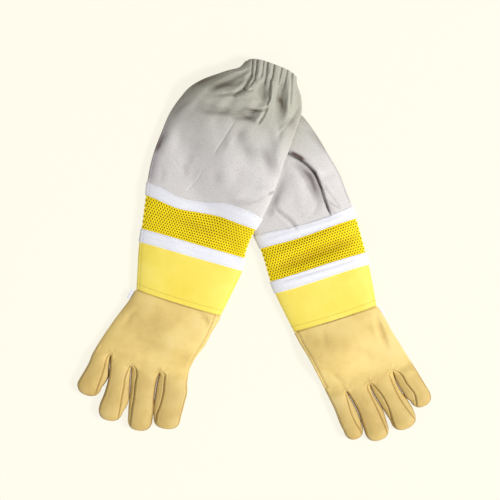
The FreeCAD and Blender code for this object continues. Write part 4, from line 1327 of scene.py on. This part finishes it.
class GloveSizes(bpy.types.PropertyGroup):
    """Sizes that change how the pieces are dressed."""

    leather: FloatProperty(name="Leather", description="Thickness of the glove leather",
                           default=1.1 * MM, unit="LENGTH", subtype="DISTANCE")
    cotton: FloatProperty(name="Cotton", description="Thickness of the sleeve cloth",
                          default=0.8 * MM, unit="LENGTH", subtype="DISTANCE")
    tape: FloatProperty(name="Tape", description="Thickness of the woven tape",
                        default=0.9 * MM, unit="LENGTH", subtype="DISTANCE")
    hole_pitch: FloatProperty(name="Hole pitch", description="Between two holes of the mesh",
                              default=3.65 * MM, unit="LENGTH", subtype="DISTANCE")
    stitch: FloatProperty(name="Stitch", description="Between two stitches of a seam",
                          default=2.6 * MM, unit="LENGTH", subtype="DISTANCE")


class GloveColours(bpy.types.PropertyGroup):
    """Colours of the pair."""

    hand: FloatVectorProperty(name="Hand leather", description="Tan leather of the hands",
                              size=3, subtype="COLOR", default=linear("#e4c87b"))
    cuff: FloatVectorProperty(name="Cuff leather", description="Yellow leather of the cuffs",
                              size=3, subtype="COLOR", default=linear("#f3dd5c"))
    mesh: FloatVectorProperty(name="Vent mesh", description="Yellow knit of the vents",
                              size=3, subtype="COLOR", default=linear("#ffea06"))
    cotton: FloatVectorProperty(name="Cotton", description="Natural cotton of the sleeves",
                                size=3, subtype="COLOR", default=linear("#e9e5e1"))
    tape: FloatVectorProperty(name="Tape", description="White woven tape",
                              size=3, subtype="COLOR", default=linear("#f3f3f9"))
    floor: FloatVectorProperty(name="Floor", description="Pale floor and background",
                               size=3, subtype="COLOR", default=linear("#fffced"))


# ---------------------------------------------------------------- operators

class GLOVES_OT_cuffs(bpy.types.Operator):
    """Makes the yellow leather cuffs, with the stitch line over their lower edge"""

    bl_idname = "gloves.cuffs"
    bl_label = "Leather cuffs"

    def execute(self, context):
        sizes = context.scene.glove_sizes
        for lay in (LEFT, RIGHT):
            marks = arm_marks(lay)
            cuff = band(f"{lay.name}_cuff_skin", lay, 0.0, marks["mesh_start"], 60, (150, 60),
                        CLOTH_INSET, sizes.leather / MM)
            finish_piece(cuff, finish("cuff_leather_dyed"), "cuff_leather", f"{lay.name}_arm",
                         f"{lay.name}_leather_cuff")
            for which, along, tone in (("top", 7.0, "yellow"), ("seam", 0.7, "dark")):
                sew(f"{lay.name}_cuff_{which}_stitches", lay,
                    [seam_line(lay, along, CLOTH_INSET)], tone, "cuff_leather",
                    f"{lay.name}_arm", SEAM_THREAD, 0.5, 0.1)
        return {"FINISHED"}


class GLOVES_OT_tapes(bpy.types.Operator):
    """Makes the white woven tapes over the edges of the mesh, stitched along both edges"""

    bl_idname = "gloves.tapes"
    bl_label = "Woven tapes"

    def execute(self, context):
        sizes = context.scene.glove_sizes
        for lay in (LEFT, RIGHT):
            marks = arm_marks(lay)
            for which in ("lower", "upper"):
                start = marks[which]
                name = f"{lay.name}_{which}_tape"
                tape = band(f"{name}_skin", lay, start, start + TAPE_WIDTH, 22, (170, 64), 0.0,
                            sizes.tape / MM)
                finish_piece(tape, finish("tape_twill_woven"), "woven_tape", f"{lay.name}_arm",
                             name)
                sew(f"{name}_stitches", lay,
                    [seam_line(lay, along, 0.0)
                     for along in (start + TAPE_EDGE, start + TAPE_WIDTH - TAPE_EDGE)],
                    "light", "woven_tape", f"{lay.name}_arm", SEAM_THREAD, 0.45, 0.05)
        return {"FINISHED"}


def net_tiles(lay, start, end, pitch, inset, wall):
    """A net of staggered round holes: hexagonal tiles, each a ring between its six-sided edge
    and a round hole, with the hole's wall below. Returns points and faces."""
    _, half, _ = arm_edges(lay, np.array((start + end) / 2))
    inside_tapes, hole, bevel, bevel_sink = 4.15, 0.28, 1.12, 0.12
    columns = int(round(inside_tapes * float(half) / pitch))
    row_step = pitch * math.sqrt(3) / 2
    rows = int(round((end - start) / row_step))
    i, j = np.meshgrid(np.arange(columns), np.arange(rows))
    middle_u = ((i + 0.5 * (j % 2)) / columns).ravel()
    middle_v = (start + (j + 0.5) * (end - start) / rows).ravel()
    corners = np.arange(12) * math.pi / 6 + math.pi / 6
    hexed = np.where(np.arange(12) % 2 == 0, 1.0 / math.sqrt(3), 0.5)
    outer = np.stack([np.cos(corners) * hexed, np.sin(corners) * hexed], axis=-1)
    rim = np.stack([np.cos(corners), np.sin(corners)], axis=-1) * hole
    layers = []
    for ring_points, sink in ((outer, 0.0), (rim * bevel, bevel_sink), (rim, wall)):
        u = middle_u[:, None] + ring_points[None, :, 0] / columns
        v = middle_v[:, None] + ring_points[None, :, 1] * (end - start) / rows / (math.sqrt(3) / 2)
        skin = arm_skin(lay, even_turn(u), np.clip(v, start, end), inset + sink)
        layers.append(skin)
    points = np.stack(layers, axis=1).reshape(-1, 3)
    quads = grid_faces(3, 12, ring=True)
    base = np.arange(columns * rows)[:, None, None] * 36
    return points, (quads[None] + base).reshape(-1, 4)


class GLOVES_OT_vents(bpy.types.Operator):
    """Makes the three layers of vent mesh: the holed net, the spacer threads and the lining"""

    bl_idname = "gloves.vents"
    bl_label = "Vent mesh"

    def execute(self, context):
        sizes = context.scene.glove_sizes
        for lay in (LEFT, RIGHT):
            marks = arm_marks(lay)
            start, end = marks["mesh_start"], marks["mesh_end"]
            points, faces = net_tiles(lay, start, end, sizes.hole_pitch / MM, CLOTH_INSET,
                                      NET_WALL)
            net = add_mesh(f"{lay.name}_vent_net", lay, points, faces[:, ::-1],
                           marks=hollow(lay, points))
            finish_piece(net, finish("vent_net_knitted"), "vent_mesh", f"{lay.name}_arm",
                         f"{lay.name}_vent_face")
            core = band(f"{lay.name}_vent_core", lay, start, end, 40, (160, 60), CORE_INSET,
                        CORE_WALL)
            finish_piece(core, finish("vent_core_knitted"), "vent_mesh", f"{lay.name}_arm",
                         f"{lay.name}_vent_spacer")
            lining = band(f"{lay.name}_vent_inner_net", lay, start, end, 30, (140, 60),
                          LINING_INSET, LINING_WALL)
            finish_piece(lining, finish("vent_core_knitted"), "vent_lining", f"{lay.name}_arm",
                         f"{lay.name}_vent_lining")
        return {"FINISHED"}


class GLOVES_OT_sleeves(bpy.types.Operator):
    """Makes the cotton sleeves with their folds, from the upper tape to the hem"""

    bl_idname = "gloves.sleeves"
    bl_label = "Cotton sleeves"

    def execute(self, context):
        sizes = context.scene.glove_sizes
        for lay in (LEFT, RIGHT):
            marks = arm_marks(lay)
            start, end = marks["mesh_end"], marks["hem"]
            sleeve = band(f"{lay.name}_sleeve_cloth", lay, start, end, 170, (196, 48),
                          CLOTH_INSET, sizes.cotton / MM)
            finish_piece(sleeve, finish("cotton_twill_woven"), "cotton_twill", f"{lay.name}_arm",
                         f"{lay.name}_cotton_sleeve")
        return {"FINISHED"}


class GLOVES_OT_hems(bpy.types.Operator):
    """Makes the gathered hems, their elastic and their stitch line"""

    bl_idname = "gloves.hems"
    bl_label = "Gathered hems"

    def execute(self, context):
        for lay in (LEFT, RIGHT):
            marks = arm_marks(lay)
            start, end = marks["hem"], marks["end"]
            hem = band(f"{lay.name}_hem_cloth", lay, start, end, 36, (196, 48), CLOTH_INSET,
                       HEM_WALL)
            finish_piece(hem, finish("cotton_twill_woven"), "cotton_twill", f"{lay.name}_arm",
                         f"{lay.name}_hem_casing")
            elastic = band(f"{lay.name}_elastic_band", lay, start + 2, end - 2, 12, (120, 40),
                           ELASTIC_INSET, ELASTIC_WALL)
            finish_piece(elastic, finish("elastic_braided"), "elastic", f"{lay.name}_arm",
                         f"{lay.name}_hem_elastic")
            sew(f"{lay.name}_hem_stitches", lay, [seam_line(lay, start + 1.0, CLOTH_INSET)],
                "light", "cotton_twill", f"{lay.name}_arm", SEAM_THREAD, 0.45, 0.0)
        return {"FINISHED"}


def hand_blend(lay, piece):
    """Works out two points about the wrist seam, which are not used, and bakes the piece's
    placement into its mesh.
    """
    lay.spot(0.0, 2.0, HAND_HEIGHT / 2)
    lay.spot(0.0, -18.0, HAND_HEIGHT / 2)
    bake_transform(piece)


class GLOVES_OT_hands(bpy.types.Operator):
    """Makes the leather backs and palms of the hands, and the thumb-side seam"""

    bl_idname = "gloves.hands"
    bl_label = "Leather hands"

    def execute(self, context):
        for lay in (LEFT, RIGHT):
            back = make_hand_back(lay)
            hand_blend(lay, leather_piece(f"{lay.name}_hand_back_leather", lay, back, None,
                                          f"{lay.name}_hand_back", flip=True,
                                          marks=leather_painted_shade(lay, back)))
            hand_blend(lay, leather_piece(f"{lay.name}_hand_palm_leather", lay,
                                          make_hand_palm(lay), None, f"{lay.name}_hand_palm"))
            hand_blend(lay, sew(f"{lay.name}_thumb_side_stitches", lay, [upward(back[8:, -1])],
                                "dark", "hand_leather", None, 1.5, 0.4, 0.1))
        return {"FINISHED"}


def finger_blend(lay, finger, piece):
    """Works out two points about the finger's fold axis, which are not used, and bakes the
    piece's placement into its mesh.
    """
    root, down, _ = finger_frame(lay, finger)
    before, beyond = 7.5, 9.0
    lay.spot(*(root - down * before), FINGER_HEIGHT / 2)
    lay.spot(*(root + down * beyond), FINGER_HEIGHT / 2)
    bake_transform(piece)


class GLOVES_OT_fingers(bpy.types.Operator):
    """Makes the backs, palms and fourchettes of the fingers, and their seams"""

    bl_idname = "gloves.fingers"
    bl_label = "Fingers"

    def execute(self, context):
        for lay in (LEFT, RIGHT):
            for finger in FINGERS:
                name = f"{lay.name}_{finger}"
                grids = make_finger(lay, finger)
                for part in ("back", "palm"):
                    grid, shade = grids[part]
                    finger_blend(lay, finger, leather_piece(
                        f"{name}_{part}_leather", lay, grid, None, f"{name}_{part}",
                        flip=part == "back", marks=shade))
                for side in (0, 1):
                    grid, shade = grids[f"leaf_{side}"]
                    free = (finger, side) in (("index", 1), ("little", 0))
                    nodes = () if free else (f"{name}_fourchettes",)
                    finger_blend(lay, finger, leather_piece(
                        f"{name}_side_{side}_leather", lay, grid, None, *nodes,
                        flip=side == 1, marks=shade))
                finger_blend(lay, finger, sew(
                    f"{name}_stitches", lay,
                    [upward(grids["back"][0][6:-8, column]) for column in (0, -1)],
                    "dark", "hand_leather", None, 1.4, 0.35, 0.05))
        return {"FINISHED"}


def thumb_grid(lay, upper):
    """One side of the folded thumb: a flat pouch with round ends about its own middle line,
    crowned to 4 mm above and below its seam. Rows run from behind the hole to the tip."""
    own_x, own_y = lay.from_frame(*hinge(f"{lay.name}_thumb_swing")[:2])
    down = np.array([math.sin(-THUMB_LEAN), -math.cos(-THUMB_LEAN)])
    side = np.array([math.cos(-THUMB_LEAN), math.sin(-THUMB_LEAN)])
    half, length = THUMB_HALF, THUMB_LENGTH
    t = np.linspace(0.0, 1.0, 70)[:, None]
    angle = (t - 0.5) * math.pi
    distance = -half + (length + half) * (0.5 + 0.5 * np.sin(angle))
    near = np.clip((distance + half) / half, 0.0, 1.0)
    far = np.clip((length - distance) / half, 0.0, 1.0)
    wide = half * np.sqrt(np.clip(1 - (1 - near) ** 2, 0, 1)) * np.sqrt(
        np.clip(1 - (1 - far) ** 2, 0, 1))
    share = np.cos(np.linspace(0.0, 1.0, 40) * math.pi)[None, :]
    flat = (np.array([own_x, own_y]) + down * distance[..., None]
            + side * (wide * share)[..., None])
    rise = 3.9 * np.sqrt(np.clip(1 - np.abs(share) ** 2.6, 0, 1)) * np.sqrt(wide / half)
    seam = 4.05
    z = seam + rise if upper else seam - rise
    return np.stack([flat[..., 0], flat[..., 1], z], axis=-1)


class GLOVES_OT_thumbs(bpy.types.Operator):
    """Makes the thumbs, folded flat under the palms"""

    bl_idname = "gloves.thumbs"
    bl_label = "Thumbs"

    def execute(self, context):
        for lay in (LEFT, RIGHT):
            for part, upper in (("back", True), ("palm", False)):
                leather_piece(f"{lay.name}_thumb_{part}_leather", lay, thumb_grid(lay, upper),
                              f"{lay.name}_thumb", f"{lay.name}_thumb_{part}", flip=not upper)
        return {"FINISHED"}


class GLOVES_OT_tags(bpy.types.Operator):
    """Makes the blank white tags in the little-finger side seams"""

    bl_idname = "gloves.tags"
    bl_label = "Side tags"

    def execute(self, context):
        for lay in (LEFT, RIGHT):
            y = np.linspace(-2.0, -14.0, 16)[:, None]
            little, _ = palm_edges(lay, y)
            out = np.linspace(0.0, 1.0, 10)[None, :]
            x = little + 1.2 - lay.tag_reach * out + 0.3 * np.sin(y / 3.0)
            z = 7.4 + 0.5 * np.sin(out * 3.0) + 0 * y
            piece = grid_piece(f"{lay.name}_blank_tag", lay,
                               np.stack([x, y + 0 * x, z + 0 * x], axis=-1),
                               maps=np.stack([x, y + 0 * x], axis=-1))
            thicken(piece, 0.5)
            finish_piece(piece, finish("tag_satin_woven"), "tag_fabric", f"{lay.name}_hand",
                         f"{lay.name}_side_tag")
        return {"FINISHED"}


class GLOVES_OT_stage(bpy.types.Operator):
    """Makes the pale floor, the soft light and the camera over the pair"""

    bl_idname = "gloves.stage"
    bl_label = "Floor, light and camera"

    def execute(self, context):
        scene = context.scene
        pale = tuple_of(scene.glove_colours.floor)
        mesh = bpy.data.meshes.new("floor")
        size = 6.0
        mesh.from_pydata([(-size, -size, 0), (size, -size, 0), (size, size, 0), (-size, size, 0)],
                         [], [(0, 1, 2, 3)])
        floor = bpy.data.objects.new("floor", mesh)
        scene.collection.objects.link(floor)
        material, shader = start_material("floor_paper_matt")
        shader.inputs["Base Color"].default_value = (*pale, 1.0)
        shader.inputs["Roughness"].default_value = 1.0
        shader.inputs["Specular IOR Level"].default_value = 0.0
        rays = node(material, "ShaderNodeLightPath")
        share = node(material, "ShaderNodeMath", {"operation": "MULTIPLY", 1: 0.87},
                     {0: rays.outputs["Is Camera Ray"]})
        glow = node(material, "ShaderNodeEmission", {"Color": pale, "Strength": 1.0})
        node(material, "ShaderNodeMixShader", None,
             {"Fac": share.outputs[0], 1: shader.outputs[0], 2: glow.outputs[0]},
             {0: material.node_tree.nodes["Material Output"].inputs["Surface"]})
        mesh.materials.append(material)

        world = bpy.data.worlds.new("studio")
        scene.world = world
        world.use_nodes = True
        world.node_tree.nodes.clear()
        rays = node(world, "ShaderNodeLightPath")
        seen = node(world, "ShaderNodeMath", {"operation": "MAXIMUM"},
                    {0: rays.outputs["Is Camera Ray"], 1: rays.outputs["Is Glossy Ray"]})
        dim = node(world, "ShaderNodeBackground", {"Color": (0.98, 0.98, 1.0), "Strength": 0.4})
        wall = node(world, "ShaderNodeBackground", {"Color": pale, "Strength": 1.0})
        mix = node(world, "ShaderNodeMixShader", None,
                   {"Fac": seen.outputs[0], 1: dim.outputs[0], 2: wall.outputs[0]})
        node(world, "ShaderNodeOutputWorld", None, {"Surface": mix.outputs[0]})

        # A strong light high on the +X side, and a weak one low on the other
        for name, place, energy in (("key", (3.4, -0.7, 3.3), 204.0),
                                    ("fill", (-0.7, -1.0, 1.6), 6.0)):
            lamp = bpy.data.lights.new(name, "AREA")
            lamp.energy = energy
            lamp.size = 1.0
            holder = bpy.data.objects.new(name, lamp)
            scene.collection.objects.link(holder)
            holder.location = place
            holder.rotation_euler = (-Vector(place)).to_track_quat("-Z", "Y").to_euler()

        camera = bpy.data.cameras.new("overhead")
        camera.sensor_width = 36.0
        away, picture_width, over = 3.2, 0.625, 0.018
        camera.lens = camera.sensor_width * away / picture_width
        holder = bpy.data.objects.new("overhead", camera)
        scene.collection.objects.link(holder)
        holder.location = (-5.95 * MM, -2.7 * MM, away + over)
        scene.camera = holder
        scene.view_settings.view_transform = "Standard"
        return {"FINISHED"}


class GLOVES_PT_panel(bpy.types.Panel):
    """Lists the steps that dress the pair, with its sizes and colours"""

    bl_label = "Beekeeping gloves"
    bl_idname = "GLOVES_PT_panel"
    bl_space_type = "VIEW_3D"
    bl_region_type = "UI"
    bl_category = "Gloves"

    def draw(self, context):
        column = self.layout.column()
        for step in STEPS:
            column.operator(step.bl_idname)
        for group in (context.scene.glove_sizes, context.scene.glove_colours):
            for name in group.__annotations__:
                column.prop(group, name)


STEPS = (GLOVES_OT_cuffs, GLOVES_OT_tapes, GLOVES_OT_vents, GLOVES_OT_sleeves, GLOVES_OT_hems,
         GLOVES_OT_hands, GLOVES_OT_fingers, GLOVES_OT_thumbs, GLOVES_OT_tags, GLOVES_OT_stage)
CLASSES = (GloveSizes, GloveColours) + STEPS + (GLOVES_PT_panel,)


def register():
    for each in CLASSES:
        bpy.utils.register_class(each)
    bpy.types.Scene.glove_sizes = PointerProperty(type=GloveSizes)
    bpy.types.Scene.glove_colours = PointerProperty(type=GloveColours)


def unregister():
    del bpy.types.Scene.glove_colours
    del bpy.types.Scene.glove_sizes
    for each in reversed(CLASSES):
        bpy.utils.unregister_class(each)


def main():
    """Dresses the pair."""
    register()
    for step in STEPS:
        group, name = step.bl_idname.split(".")
        getattr(getattr(bpy.ops, group), name)()


if __name__ == "__main__":
    main()
